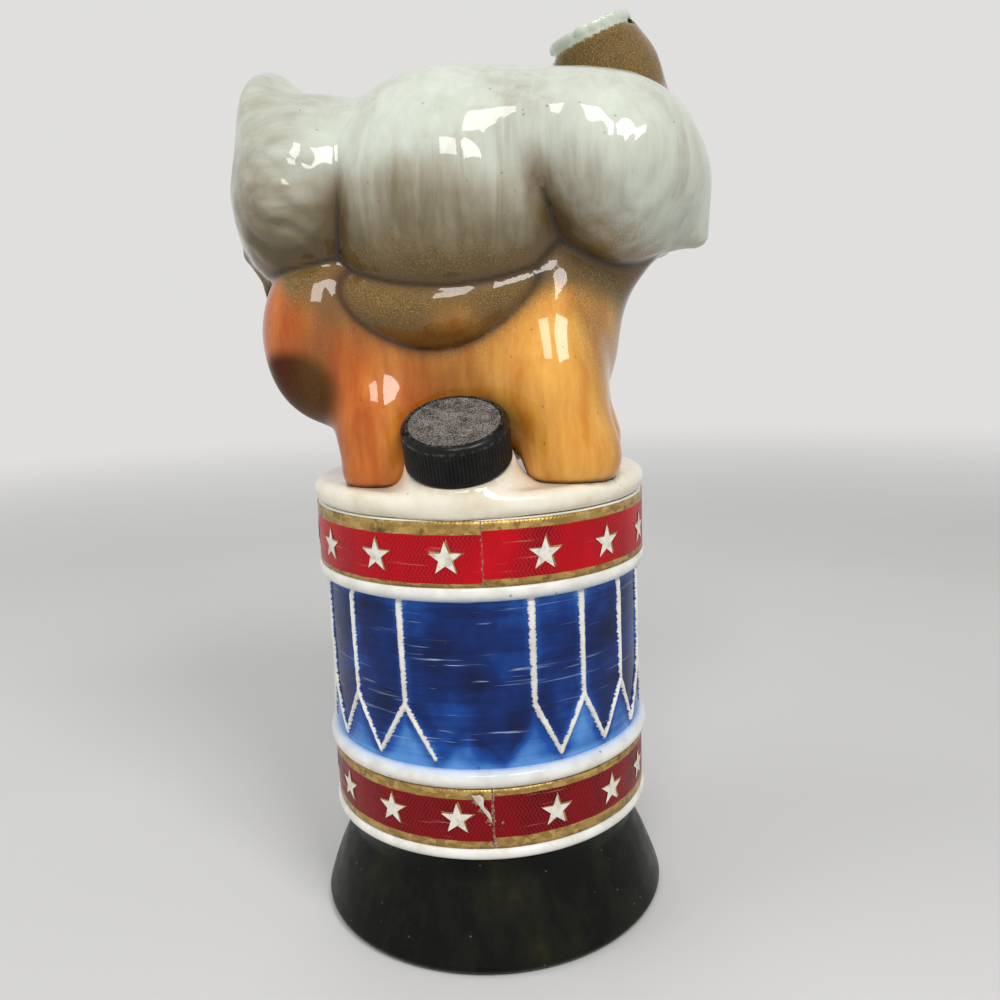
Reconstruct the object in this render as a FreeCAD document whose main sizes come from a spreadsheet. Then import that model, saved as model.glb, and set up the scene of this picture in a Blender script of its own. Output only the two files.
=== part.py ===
import FreeCAD, Part
import math
import os
import re

import Sketcher
from FreeCAD import Rotation, Vector

# Glazed ceramic decanter: a circus elephant standing on a laced drum, with a screw-capped spout
# on the drum's head. Millimetres and degrees. +Z is up, the table is z = 0, the drum's axis is Z,
# the spout is on the -Y side and the elephant's head end is at +X.

SIZES = {
    # Base: a dark dish that flares from the drum down to the table
    "base_height": 33.8,
    "base_flare": 11.0,
    "base_edge_rise": 2.0,
    "base_edge_turn": 2.5,
    "base_dome_rise": 13.2,
    "base_dome_flare": 7.2,
    "base_waist_rise": 25.0,
    "base_waist_flare": 1.0,
    "base_collar_height": 3.0,
    "base_seat_width": 3.0,
    "base_wall": 5.0,
    "base_floor": 6.0,
    "base_recess": 2.0,
    "base_foot_ring": 9.0,
    # Locating rings that stand inside the drum's bore
    "register_height": 4.0,
    "register_wall": 3.5,
    "register_clearance": 0.3,
    # Drum wall, from its foot hoop up to the head
    "drum_bore": 45.5,
    "barrel_wall": 4.5,
    "foot_hoop_height": 3.6,
    "foot_hoop_proud": 1.8,
    "lower_hoop_height": 5.4,
    "upper_hoop_height": 4.5,
    "hoop_proud": 2.5,
    "band_space": 18.8,
    "lower_seat_proud": 0.6,
    "upper_seat_proud": 1.5,
    "panel_height": 50.0,
    # Rope lacing on the drum wall; the rope over the spout's panel is left out
    "rope_count": 18,
    "rope_radius": 1.1,
    "rope_fork_radius": 1.0,
    "rope_lap": 0.3,
    "rope_bedding": 0.3,
    "rope_fork_rise": 18.4,
    "rope_valley_rise": 2.0,
    # Foil star bands
    "band_thickness": 0.4,
    "band_edge_gap": 0.2,
    "band_seam": 0.4,
    "band_seam_turn": 8.3,
    "glue_film": 0.1,
    # Drum head and spout boss
    "head_thickness": 7.0,
    "head_overhang": 2.3,
    "head_rim_flat": 2.0,
    "spout_tilt": 25.3,
    "spout_rise": 8.3,
    "spout_wall_gap": 1.1,
    "boss_wall": 3.5,
    "boss_top_gap": 0.6,
    "boss_flare": 3.2,
    "boss_sink": 2.0,
    "figure_vent_radius": 4.0,
    # Pouring sleeve with its outside thread
    "pour_radius": 9.25,
    "finish_radius": 12.75,
    "finish_height": 9.9,
    "shank_radius": 12.0,
    "shank_length": 18.0,
    "cement_gap": 0.15,
    "thread_pitch": 4.23,
    "thread_depth": 1.05,
    "thread_base": 2.2,
    "thread_crest": 1.1,
    "thread_turns": 1.1,
    "thread_start": 3.6,
    "thread_start_turn": 40.0,
    "thread_clearance": 0.3,
    "thread_bedding": 0.25,
    # Screw cap and its sealing disc
    "cap_wall": 0.7,
    "cap_top": 1.5,
    "cap_disc_recess": 0.5,
    "cap_bevel": 1.7,
    "cap_bevel_run": 1.2,
    "cap_ring_height": 0.35,
    "cap_disc_margin": 1.9,
    "cap_bead_height": 0.9,
    "rib_count": 90,
    "rib_depth": 0.45,
    "liner_thickness": 1.0,
    "liner_gap": 0.05,
    "liner_edge_gap": 0.3,
    # Elephant's cast wall and the clearance of its foot beside the spout boss
    "figure_wall": 6.0,
    "hollow_foot_radius": 10.0,
    "foot_clearance": 0.4,
    "foot_sink": 4.0,
    "head_turn": 55.0,
    "trunk_mouth_wall": 4.5,
    "trunk_mouth_depth": 4.0,
}

# Elephant lobes: centre along X, across Y and above the drum's head, half sizes, tilt about Y
LOBES = {
    "barrel": (-4.5, 0.0, 80.6, 42.0, 42.0, 40.5, 0.0),
    "rump": (-45.0, 0.0, 87.1, 27.0, 38.0, 33.0, 6.0),
    "croup": (-53.5, 0.0, 97.0, 13.0, 17.0, 21.5, -18.0),
    "withers": (24.0, -3.0, 92.5, 34.0, 33.0, 25.5, 0.0),
    "shoulder": (44.0, -5.0, 87.6, 27.0, 35.0, 26.5, 0.0),
    "ear_tip": (61.5, -5.5, 79.5, 9.5, 12.5, 14.5, -35.0),
    "belly": (-9.0, 0.0, 51.6, 46.0, 36.8, 18.0, 0.0),
    "skirt": (-3.0, 0.0, 38.0, 47.0, 28.0, 40.0, 0.0),
    "chest": (33.5, 0.0, 58.5, 17.0, 19.0, 30.0, 28.0),
    "haunch": (-43.5, 15.5, 43.5, 18.5, 20.8, 26.0, 0.0),
}
LOBE_PARTS = ("along", "across", "rise", "length", "width", "height", "tilt")
PAIRED_LOBES = ("haunch",)

# Head lobes turned about Z by head_turn: centre as above, half sizes facing, sideways and upright
HEAD_LOBES = {
    "skull": (46.0, 14.0, 88.1, 25.0, 24.0, 26.0),
    "jaw": (54.5, 26.5, 69.5, 10.5, 9.0, 8.5),
    "near_ear": (61.9, 5.3, 88.1, 6.0, 12.5, 21.0),
    "far_ear": (19.5, 28.5, 89.0, 6.0, 19.0, 26.0),
}
HEAD_LOBE_PARTS = ("along", "across", "rise", "depth", "spread", "height")

# Limb stations from the body outwards: along, across, above the drum's head, radius
LEGS = {
    "hind_leg": {
        "hind_hip": (-31.0, 17.0, 54.0, 15.5),
        "hind_foot": (-24.8, 26.0, 0.0, 12.3),
    },
    "fore_leg": {
        "fore_hip": (22.0, 12.5, 55.0, 17.5),
        "fore_foot": (30.2, 22.4, 0.0, 13.6),
    },
}
TRUNK = {
    "trunk_root": (47.0, 15.5, 81.0, 14.0),
    "trunk_snout": (54.0, 32.5, 84.5, 16.0),
    "trunk_bend": (50.5, 35.5, 103.0, 16.5),
    "trunk_neck": (43.2, 27.8, 120.6, 15.6),
    "trunk_tip": (36.5, 18.5, 135.1, 12.8),
}
LIMB_PARTS = ("along", "across", "rise", "radius")

# Directions of the lobes' poles: a step round Z from lobe to lobe, in degrees, and a lean upwards
POLE_STEP = 23.0
POLE_LEAN = 0.5

# Heights and radii that follow from the sizes
BARREL_RADIUS = "(drum_bore + barrel_wall)"
LOWER_BAND_FOOT = "(base_height + foot_hoop_height)"
LOWER_HOOP_FOOT = "(%s + band_space)" % LOWER_BAND_FOOT
PANEL_FOOT = "(%s + lower_hoop_height)" % LOWER_HOOP_FOOT
PANEL_TOP = "(%s + panel_height)" % PANEL_FOOT
UPPER_BAND_FOOT = "(%s + upper_hoop_height)" % PANEL_TOP
BARREL_TOP = "(%s + band_space)" % UPPER_BAND_FOOT
HEAD_TOP = "(%s + head_thickness)" % BARREL_TOP
HEAD_RADIUS = "(%s + head_overhang)" % BARREL_RADIUS
REGISTER_RADIUS = "(drum_bore - register_clearance)"
SPOUT_HEIGHT = "(%s + spout_rise)" % HEAD_TOP
SLEEVE_HOLE = "(shank_radius + cement_gap)"
SPOUT_OFFSET = (
    "(drum_bore - spout_wall_gap + (head_thickness + spout_rise) * tan(spout_tilt) - %s / cos(spout_tilt))"
    % SLEEVE_HOLE
)
BOSS_RADIUS = "(%s + boss_wall)" % SLEEVE_HOLE
CAP_BORE = "(finish_radius + thread_depth + thread_clearance)"
CAP_CORE = "(%s + cap_wall)" % CAP_BORE
CAP_RADIUS = "(%s + rib_depth)" % CAP_CORE
LINER_TOP = "(finish_height + liner_thickness)"
CAP_CEILING = "(%s + liner_gap)" % LINER_TOP
CAP_HEIGHT = "(%s + cap_top)" % CAP_CEILING

doc = FreeCAD.newDocument("decanter")


def sheet_rows():
    """Every named size: the plain ones, then those of the lobes and limb stations."""
    rows = dict(SIZES)
    for table, parts in ((LOBES, LOBE_PARTS), (HEAD_LOBES, HEAD_LOBE_PARTS)):
        for name, numbers in table.items():
            rows.update({"%s_%s" % (name, part): number for part, number in zip(parts, numbers)})
    for stations in list(LEGS.values()) + [TRUNK]:
        for name, numbers in stations.items():
            rows.update({"%s_%s" % (name, part): number for part, number in zip(LIMB_PARTS, numbers)})
    return rows


def make_sheet(rows):
    sheet = doc.addObject("Spreadsheet::Sheet", "sizes")
    for row, (name, number) in enumerate(rows.items(), start=1):
        sheet.set("A%d" % row, name)
        sheet.set("B%d" % row, str(number))
        sheet.setAlias("B%d" % row, name)
    doc.recompute()
    return sheet


NAMES = sheet_rows()
SHEET = make_sheet(NAMES)


def linked(expression):
    """The expression with each size name pointing at its cell."""
    return re.sub(r"[a-z_]+", lambda m: "sizes." + m.group() if m.group() in NAMES else m.group(), expression)


def number(expression):
    return float(SHEET.evalExpression(linked(expression)))


def bind(thing, **bindings):
    """Bind properties to expressions; a double underscore stands for a dot."""
    for name, expression in bindings.items():
        thing.setExpression(name.replace("__", "."), linked(expression))


def place(thing, along="0", across="0", up="0"):
    bind(thing, Placement__Base__x=along, Placement__Base__y=across, Placement__Base__z=up)


def turn(thing, axis, angle):
    thing.Placement = FreeCAD.Placement(thing.Placement.Base, Rotation(axis, number(angle)))
    bind(thing, Placement__Rotation__Angle=angle)


def spout_point(drop):
    """Across and up of the point on the spout's axis that far below the cap's lower edge."""
    across = "-%s + (%s) * sin(spout_tilt)" % (SPOUT_OFFSET, drop)
    up = "%s - (%s) * cos(spout_tilt)" % (SPOUT_HEIGHT, drop)
    return across, up


def on_spout(thing, drop="0"):
    """Stand a piece on the spout's axis, its local z = 0 that far below the cap's lower edge."""
    turn(thing, Vector(1, 0, 0), "spout_tilt")
    place(thing, "0", *spout_point(drop))
    return thing


def origin_plane(body, role):
    return next(item for item in body.Origin.OriginFeatures if item.Role == role)


def pin_point(sketch, geo, spot, across, up):
    """Hold a sketch point at its distances from the sketch's origin."""
    for axis, kind, distance in ((-2, "DistanceX", across), (-1, "DistanceY", up)):
        if distance == "0":
            sketch.addConstraint(Sketcher.Constraint("PointOnObject", geo, spot, axis))
            continue
        index = sketch.addConstraint(Sketcher.Constraint(kind, -1, 1, geo, spot, number(distance)))
        sketch.setExpression("Constraints[%d]" % index, linked(distance))


def draw_outline(sketch, outline):
    """Closed outline of (across, up) corners; a point (across, up, "via") makes that run an arc."""
    spots = [Vector(number(point[0]), number(point[1]), 0) for point in outline]
    corners = [index for index, point in enumerate(outline) if len(point) == 2]
    ends = []
    for index, start in enumerate(corners):
        stop = corners[(index + 1) % len(corners)]
        straight = (start + 1) % len(outline) == stop
        if straight:
            geo = sketch.addGeometry(Part.LineSegment(spots[start], spots[stop]))
            ends.append((geo, 1, 2))
            continue
        arc = Part.Arc(spots[start], spots[start + 1], spots[stop])
        geo = sketch.addGeometry(arc)
        forward = sketch.getPoint(geo, 1).distanceToPoint(spots[start]) < 1e-6
        ends.append((geo, 1, 2) if forward else (geo, 2, 1))
        mark = sketch.addGeometry(Part.Point(spots[start + 1]), True)
        pin_point(sketch, mark, 1, outline[start + 1][0], outline[start + 1][1])
        sketch.addConstraint(Sketcher.Constraint("PointOnObject", mark, 1, geo))
    for index, (geo, first, last) in enumerate(ends):
        next_geo, next_first, _ = ends[(index + 1) % len(ends)]
        sketch.addConstraint(Sketcher.Constraint("Coincident", geo, last, next_geo, next_first))
        corner = outline[corners[index]]
        pin_point(sketch, geo, first, corner[0], corner[1])


def lathe(name, outline, sweep="360"):
    """A body turned about Z from an outline of radius and height."""
    body = doc.addObject("PartDesign::Body", name)
    sketch = body.newObject("Sketcher::SketchObject", name + "_profile")
    sketch.AttachmentSupport = [(origin_plane(body, "XZ_Plane"), "")]
    sketch.MapMode = "FlatFace"
    draw_outline(sketch, outline)
    turned = body.newObject("PartDesign::Revolution", name + "_turned")
    turned.Profile = sketch
    turned.ReferenceAxis = (sketch, ["V_Axis"])
    bind(turned, Angle=sweep)
    body.Tip = turned
    return body


def cylinder(name, radius, length):
    rod = doc.addObject("Part::Cylinder", name)
    bind(rod, Radius=radius, Height=length)
    return rod


def fuse(name, shapes):
    joined = doc.addObject("Part::MultiFuse", name)
    joined.Shapes = shapes
    joined.Refine = False
    return joined


def cut(name, base, tool):
    result = doc.addObject("Part::Cut", name)
    result.Base = base
    result.Tool = tool
    result.Refine = False
    return result


def station(name, along, across, up, radius, normal):
    """One round section of a loft; every section starts on the side that faces along X."""
    upright = Vector(normal).normalize()
    start = Vector(0, 1, 0).cross(upright).normalize()
    ring = doc.addObject("Part::Circle", name)
    ring.Placement = FreeCAD.Placement(Vector(), Rotation(start, upright.cross(start), upright, "ZXY"))
    bind(ring, Radius=radius)
    place(ring, along, across, up)
    return ring


def loft(name, sections):
    skin = doc.addObject("Part::Loft", name)
    skin.Sections = sections
    skin.Solid = True
    return skin


def base_foot():
    foot_radius = "(drum_bore + base_flare)"
    recess_radius = "(%s - base_edge_turn - base_foot_ring)" % foot_radius
    collar_foot = "(base_height - base_collar_height)"
    lip_radius = "(%s - register_wall)" % REGISTER_RADIUS
    bowl_radius = "(drum_bore + base_dome_flare - base_wall)"
    waist = "(drum_bore + base_waist_flare)"
    return lathe("base_foot", [
        (recess_radius, "0"),
        ("%s - base_edge_turn" % foot_radius, "0"),
        (foot_radius, "base_edge_rise"),
        ("drum_bore + base_dome_flare", "base_dome_rise", "via"),
        (waist, "base_waist_rise"),
        (waist, collar_foot),
        ("drum_bore + base_seat_width", "base_height"),
        (REGISTER_RADIUS, "base_height"),
        (REGISTER_RADIUS, "base_height + register_height"),
        (lip_radius, "base_height + register_height"),
        (lip_radius, "base_waist_rise"),
        (bowl_radius, "base_dome_rise"),
        (bowl_radius, "base_recess + base_floor"),
        ("0", "base_recess + base_floor"),
        ("0", "base_recess"),
        (recess_radius, "base_recess"),
    ])


def drum_wall():
    lower_seat = "(%s + lower_seat_proud)" % BARREL_RADIUS
    upper_seat = "(%s + upper_seat_proud)" % BARREL_RADIUS
    hoop = "%s + hoop_proud" % BARREL_RADIUS
    return lathe("drum_wall", [
        ("drum_bore", "base_height"),
        (BARREL_RADIUS, "base_height"),
        ("%s + foot_hoop_proud" % BARREL_RADIUS, "base_height + foot_hoop_height / 2", "via"),
        (lower_seat, LOWER_BAND_FOOT),
        (lower_seat, LOWER_HOOP_FOOT),
        (hoop, "%s + lower_hoop_height / 2" % LOWER_HOOP_FOOT, "via"),
        (BARREL_RADIUS, PANEL_FOOT),
        (BARREL_RADIUS, PANEL_TOP),
        (hoop, "%s + upper_hoop_height / 2" % PANEL_TOP, "via"),
        (upper_seat, UPPER_BAND_FOOT),
        (upper_seat, BARREL_TOP),
        ("drum_bore", BARREL_TOP),
    ])


def rope(start, end, radius):
    """A round rope between two points on the wall, run on a little so that ropes meet."""
    run = end - start
    lap = number("rope_lap")
    ahead = Vector(run).normalize()
    rod = doc.addObject("Part::Cylinder", "rope")
    bind(rod, Radius=radius)
    rod.Height = run.Length + 2 * lap
    rod.Placement = FreeCAD.Placement(start - ahead * lap, Rotation(Vector(0, 0, 1), run))
    return rod


def rope_lacing():
    """Upright ropes that fork into a zigzag, with none upright on the spout's panel."""
    count = int(number("rope_count"))
    reach = number("%s - rope_bedding" % BARREL_RADIUS)
    top = number(PANEL_TOP)
    fork = number("%s + rope_fork_rise" % PANEL_FOOT)
    valley = number("%s + rope_valley_rise" % PANEL_FOOT)

    def on_wall(steps, height):
        angle = 2 * math.pi * steps / count - math.pi / 2
        return Vector(reach * math.cos(angle), reach * math.sin(angle), height)

    ropes = []
    for step in range(count):
        if step > 0:
            ropes.append(rope(on_wall(step, top), on_wall(step, fork), "rope_radius"))
        for side in (-0.5, 0.5):
            ropes.append(rope(on_wall(step, fork), on_wall(step + side, valley), "rope_fork_radius"))
    return ropes


def drum_barrel():
    return fuse("drum_barrel", [drum_wall()] + rope_lacing())


def star_band(name, seat_proud, foot):
    """A foil strip wrapped once round its seat, with a hairline seam on the spout's side."""
    inner = "(%s + %s + glue_film)" % (BARREL_RADIUS, seat_proud)
    outer = "(%s + band_thickness)" % inner
    low = "(%s + band_edge_gap)" % foot
    high = "(%s + band_space - band_edge_gap)" % foot
    corners = [(inner, low), (outer, low), (outer, high), (inner, high)]
    strip = lathe(name, corners, "360 - band_seam / %s * 180 / pi" % outer)
    turn(strip, Vector(0, 0, 1), "band_seam_turn - 90")
    return strip


def head_disc():
    register_inside = "(%s - register_wall)" % REGISTER_RADIUS
    rim_inside = "(%s - head_rim_flat)" % HEAD_RADIUS
    return lathe("head_disc", [
        ("0", BARREL_TOP),
        (register_inside, BARREL_TOP),
        (register_inside, "%s - register_height" % BARREL_TOP),
        (REGISTER_RADIUS, "%s - register_height" % BARREL_TOP),
        (REGISTER_RADIUS, BARREL_TOP),
        (rim_inside, BARREL_TOP),
        (HEAD_RADIUS, "%s + head_thickness / 2" % BARREL_TOP, "via"),
        (rim_inside, HEAD_TOP),
        ("0", HEAD_TOP),
    ])


def spout_boss():
    """A flared boss: round sections from the drum's head up to the tilted seat of the sleeve."""
    lean = number("spout_tilt")
    axis = Vector(0, -math.sin(math.radians(lean)), math.cos(math.radians(lean)))
    seat_across, seat_up = spout_point("boss_top_gap")
    foot_across, _ = spout_point("spout_rise / cos(spout_tilt)")
    upright = Vector(0, 0, 1)
    foot_radius = "%s + boss_flare" % BOSS_RADIUS
    bell = loft("boss_bell", [
        station("boss_foot", "0", foot_across, "%s - boss_sink" % HEAD_TOP, foot_radius, upright),
        station("boss_flare", "0", foot_across, HEAD_TOP, foot_radius, upright),
        station("boss_seat", "0", seat_across, seat_up, BOSS_RADIUS, axis),
    ])
    bell.Ruled = True
    inside_rim = cylinder("boss_trim", "%s - head_rim_flat" % HEAD_RADIUS, SPOUT_HEIGHT)
    place(inside_rim, up=BARREL_TOP)
    trimmed = doc.addObject("Part::Common", "boss_trimmed")
    trimmed.Base = bell
    trimmed.Tool = inside_rim
    foot_room = cylinder("foot_room", "hind_foot_radius + foot_clearance", "spout_rise + %s" % BOSS_RADIUS)
    place(foot_room, "hind_foot_along", "-hind_foot_across", HEAD_TOP)
    return cut("spout_boss", trimmed, foot_room)


def drum_head():
    solid = fuse("head_with_boss", [head_disc(), spout_boss()])
    reach = "(shank_length + %s)" % SLEEVE_HOLE
    sleeve_hole = on_spout(cylinder("sleeve_hole", SLEEVE_HOLE, "2 * %s" % reach), reach)
    vent = cylinder("head_vent", "figure_vent_radius", "2 * head_thickness")
    place(vent, "barrel_along", "barrel_across", "%s - head_thickness / 2" % BARREL_TOP)
    return cut("drum_head", solid, fuse("head_holes", [sleeve_hole, vent]))


def thread_ridge(name, base_radius, crest_radius, start):
    """One helical ridge; its sizes are read from the sheet."""
    base = number(base_radius)
    crest = number(crest_radius)
    half_base = number("thread_base / 2")
    half_crest = number("thread_crest / 2")
    pitch = number("thread_pitch")
    helix = Part.makeHelix(pitch, pitch * number("thread_turns"), base)
    profile = Part.makePolygon([
        Vector(base, 0, -half_base),
        Vector(crest, 0, -half_crest),
        Vector(crest, 0, half_crest),
        Vector(base, 0, half_base),
        Vector(base, 0, -half_base),
    ])
    for wire in (helix, profile):
        wire.rotate(Vector(), Vector(0, 0, 1), number("thread_start_turn"))
        wire.translate(Vector(0, 0, number(start)))
    ridge = doc.addObject("Part::Feature", name)
    ridge.Shape = helix.makePipeShell([profile], True, True)
    return on_spout(ridge)


def neck_sleeve():
    lip = "shank_length + finish_height"
    tube = on_spout(lathe("sleeve_tube", [
        ("pour_radius", "0"),
        ("pour_radius", lip),
        ("finish_radius", lip),
        ("finish_radius", "shank_length - boss_top_gap"),
        ("shank_radius", "shank_length - boss_top_gap"),
        ("shank_radius", "0"),
    ]), "shank_length")
    ridge = thread_ridge(
        "sleeve_thread", "finish_radius - thread_bedding", "finish_radius + thread_depth", "thread_start"
    )
    return fuse("neck_sleeve", [tube, ridge])


def cap_ribs():
    """A ring of fine upright ribs round the skirt; its sizes are read from the sheet."""
    count = int(number("rib_count"))
    core = number(CAP_CORE)
    crest = number(CAP_RADIUS)
    foot = number("cap_bead_height / 2")
    top = number("%s - cap_bevel" % CAP_HEIGHT)
    corners = []
    for step in range(2 * count + 1):
        angle = math.pi * step / count
        reach = crest if step % 2 == 0 else core
        corners.append(Vector(reach * math.cos(angle), reach * math.sin(angle), foot))
    inner = Part.Wire(Part.makeCircle(number("%s + cap_wall / 2" % CAP_BORE), Vector(0, 0, foot)))
    ring = Part.makeFace([Part.makePolygon(corners), inner], "Part::FaceMakerBullseye")
    ribs = doc.addObject("Part::Feature", "cap_ribs")
    ribs.Shape = ring.extrude(Vector(0, 0, top - foot))
    return on_spout(ribs)


def cap_shell():
    disc_radius = "(%s - cap_disc_margin)" % CAP_CORE
    ring_foot = "(%s - cap_bevel - cap_ring_height)" % CAP_HEIGHT
    shell = on_spout(lathe("cap_turned", [
        (CAP_BORE, "0"),
        (CAP_RADIUS, "0"),
        (CAP_RADIUS, "cap_bead_height"),
        (CAP_CORE, "cap_bead_height"),
        (CAP_CORE, ring_foot),
        (CAP_RADIUS, ring_foot),
        (CAP_RADIUS, "%s - cap_bevel" % CAP_HEIGHT),
        ("%s - cap_bevel_run" % CAP_CORE, CAP_HEIGHT),
        (disc_radius, CAP_HEIGHT),
        (disc_radius, "%s - cap_disc_recess" % CAP_HEIGHT),
        ("0", "%s - cap_disc_recess" % CAP_HEIGHT),
        ("0", CAP_CEILING),
        (CAP_BORE, CAP_CEILING),
    ]))
    ridge = thread_ridge(
        "cap_thread", "%s + thread_bedding" % CAP_BORE, "finish_radius + thread_clearance",
        "thread_start - thread_pitch / 2",
    )
    return fuse("cap_shell", [shell, cap_ribs(), ridge])


def cap_liner():
    edge = "(%s - liner_edge_gap)" % CAP_BORE
    return on_spout(lathe("cap_liner", [
        ("0", "finish_height"),
        (edge, "finish_height"),
        (edge, LINER_TOP),
        ("0", LINER_TOP),
    ]))


def ball(name, half_sizes):
    """An ellipsoid; each one's poles point their own way, so that no two seams meet."""
    lobes_so_far = len([item for item in doc.Objects if item.Name.startswith("lobe")])
    pole_turn = math.radians(POLE_STEP * (lobes_so_far + 1))
    pole = Vector(math.cos(pole_turn), math.sin(pole_turn), POLE_LEAN)
    stretch = FreeCAD.Matrix()
    stretch.scale(*[number(size) for size in half_sizes])
    lump = doc.addObject("Part::Feature", "lobe_" + name)
    lump.Shape = Part.makeSphere(1.0, Vector(), pole).transformGeometry(stretch)
    return lump


def lobe(name, side=1):
    """A lobe of the elephant above the drum's head; side -1 is its mirror."""
    lump = ball(name, ["%s_%s" % (name, part) for part in ("length", "width", "height")])
    turn(lump, Vector(0, 1, 0), "%s_tilt" % name)
    place(lump, "%s_along" % name, "%d * %s_across" % (side, name), "%s + %s_rise" % (HEAD_TOP, name))
    return lump


def head_lobe(name):
    lump = ball(name, ["%s_%s" % (name, part) for part in ("depth", "spread", "height")])
    turn(lump, Vector(0, 0, 1), "head_turn")
    place(lump, "%s_along" % name, "%s_across" % name, "%s + %s_rise" % (HEAD_TOP, name))
    return lump


def station_point(name, side):
    return Vector(number(name + "_along"), side * number(name + "_across"), number(name + "_rise"))


def leg(name, side):
    """A tapered leg from the hip to the foot, run on a little below the drum's head."""
    hip, foot = LEGS[name]
    top = station_point(hip, side)
    run = top - station_point(foot, side)
    ahead = Vector(run).normalize()
    start = station_point(foot, side) - ahead * number("foot_sink") + Vector(0, 0, number(HEAD_TOP))
    taper = doc.addObject("Part::Cone", name)
    bind(taper, Radius1=foot + "_radius", Radius2=hip + "_radius")
    taper.Height = run.Length + number("foot_sink")
    taper.Placement = FreeCAD.Placement(start, Rotation(Vector(0, 0, 1), run))
    return taper


def trunk():
    """A loft through the trunk's stations, each section square to the trunk's run there."""
    stations = list(TRUNK)
    points = [station_point(item, 1) for item in stations]
    rings = []
    for index, item in enumerate(stations):
        run = points[max(index - 1, 0)] - points[min(index + 1, len(points) - 1)]
        up = "%s + %s_rise" % (HEAD_TOP, item)
        rings.append(station(item + "_ring", item + "_along", item + "_across", up, item + "_radius", run))
    return loft("trunk_loft", rings)


def trunk_mouth():
    """A shallow hollow in the end of the trunk."""
    tip = station_point("trunk_tip", 1)
    run = tip - station_point("trunk_neck", 1)
    mouth = cylinder("trunk_mouth", "trunk_tip_radius - trunk_mouth_wall", "trunk_mouth_depth * 2")
    sink = run.normalize() * number("trunk_mouth_depth")
    mouth.Placement = FreeCAD.Placement(tip - sink + Vector(0, 0, number(HEAD_TOP)), Rotation(Vector(0, 0, 1), run))
    return mouth


def figure_hollow():
    """The casting's hollow: a round room in the barrel, narrowing down between the legs."""
    room = doc.addObject("Part::Sphere", "barrel_hollow")
    bind(room, Radius="barrel_height - figure_wall")
    turn(room, Vector(0, 0, 1), "head_turn")
    place(room, "barrel_along", "barrel_across", "%s + barrel_rise" % HEAD_TOP)
    funnel = doc.addObject("Part::Cone", "skirt_hollow")
    bind(funnel, Radius1="hollow_foot_radius", Radius2="skirt_width - figure_wall", Height="barrel_rise - figure_wall")
    place(funnel, "barrel_along", "barrel_across", "%s + figure_wall" % HEAD_TOP)
    return fuse("figure_room", [room, funnel])


def elephant_figure():
    lobes = [lobe(name) for name in LOBES]
    lobes += [lobe(name, side=-1) for name in PAIRED_LOBES]
    lobes += [head_lobe(name) for name in HEAD_LOBES]
    legs = [leg(name, side) for name in LEGS for side in (1, -1)]
    casting = fuse("figure_solid", lobes + legs + [trunk()])
    hollow = cut("figure_casting", casting, figure_hollow())
    under = cylinder("figure_under", "%s + fore_foot_radius" % HEAD_RADIUS, HEAD_TOP)
    standing = cut("figure_standing", hollow, under)
    vent = cylinder("figure_vent", "figure_vent_radius", "barrel_rise + head_thickness")
    place(vent, "barrel_along", "barrel_across", "%s - head_thickness" % HEAD_TOP)
    return cut("elephant_figure", standing, fuse("figure_holes", [vent, trunk_mouth()]))


def check(parts):
    """Stop if any object failed or any sub-part is not one sound solid."""
    doc.recompute()
    for item in doc.Objects:
        if "Invalid" in item.State or "Error" in item.State:
            raise RuntimeError("%s failed: %s" % (item.Label, item.State))
    for name, item in parts.items():
        shape = item.Shape
        print("%-18s solids %d volume %.1f" % (name, len(shape.Solids), shape.Volume))
        if shape.isNull() or not shape.isValid():
            raise RuntimeError("%s has no valid shape" % name)


def main():
    parts = {
        "base_foot": base_foot(),
        "drum_barrel": drum_barrel(),
        "drum_head": drum_head(),
        "elephant_figure": elephant_figure(),
        "upper_star_band": star_band("upper_star_band", "upper_seat_proud", UPPER_BAND_FOOT),
        "lower_star_band": star_band("lower_star_band", "lower_seat_proud", LOWER_BAND_FOOT),
        "neck_sleeve": neck_sleeve(),
        "cap_shell": cap_shell(),
        "cap_liner": cap_liner(),
    }
    check(parts)
    os.makedirs("parts", exist_ok=True)
    for name, item in parts.items():
        item.Label = name
        item.Shape.exportStep("parts/%s.step" % name)


main()
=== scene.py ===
import math

import bmesh
import bpy
import numpy as np
from mathutils import Matrix, Vector


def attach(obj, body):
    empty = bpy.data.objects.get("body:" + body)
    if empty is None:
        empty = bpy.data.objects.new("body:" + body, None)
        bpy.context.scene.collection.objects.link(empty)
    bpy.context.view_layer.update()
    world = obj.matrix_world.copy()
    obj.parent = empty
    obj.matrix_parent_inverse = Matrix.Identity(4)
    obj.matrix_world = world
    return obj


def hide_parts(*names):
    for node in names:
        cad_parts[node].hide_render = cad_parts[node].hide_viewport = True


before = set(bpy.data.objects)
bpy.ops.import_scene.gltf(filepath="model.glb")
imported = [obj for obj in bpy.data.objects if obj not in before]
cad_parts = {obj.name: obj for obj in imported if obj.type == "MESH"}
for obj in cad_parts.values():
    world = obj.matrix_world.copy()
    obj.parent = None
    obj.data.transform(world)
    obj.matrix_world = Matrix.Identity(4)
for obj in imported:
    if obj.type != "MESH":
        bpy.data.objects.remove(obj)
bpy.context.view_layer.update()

# Glazed ceramic decanter: an elephant on a laced drum. Shapes are worked out in millimetres.
MM = 0.001
BASE_TOP = 33.8
LOWER_SEAT_FOOT, LOWER_SEAT_TOP = 37.4, 56.2
PANEL_FOOT, PANEL_TOP = 61.6, 111.6
UPPER_SEAT_FOOT = 116.1
RIM_FOOT = 134.9
HEAD_TOP = 141.9
DRUM_RADIUS = 50.0
DRUM_BORE = 45.5
LOWER_BAND_RADIUS, UPPER_BAND_RADIUS = 51.1, 52.0
SPOUT_FOOT = np.array((0.0, -38.2, 150.2))
SPOUT_TILT = math.radians(25.3)
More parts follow.
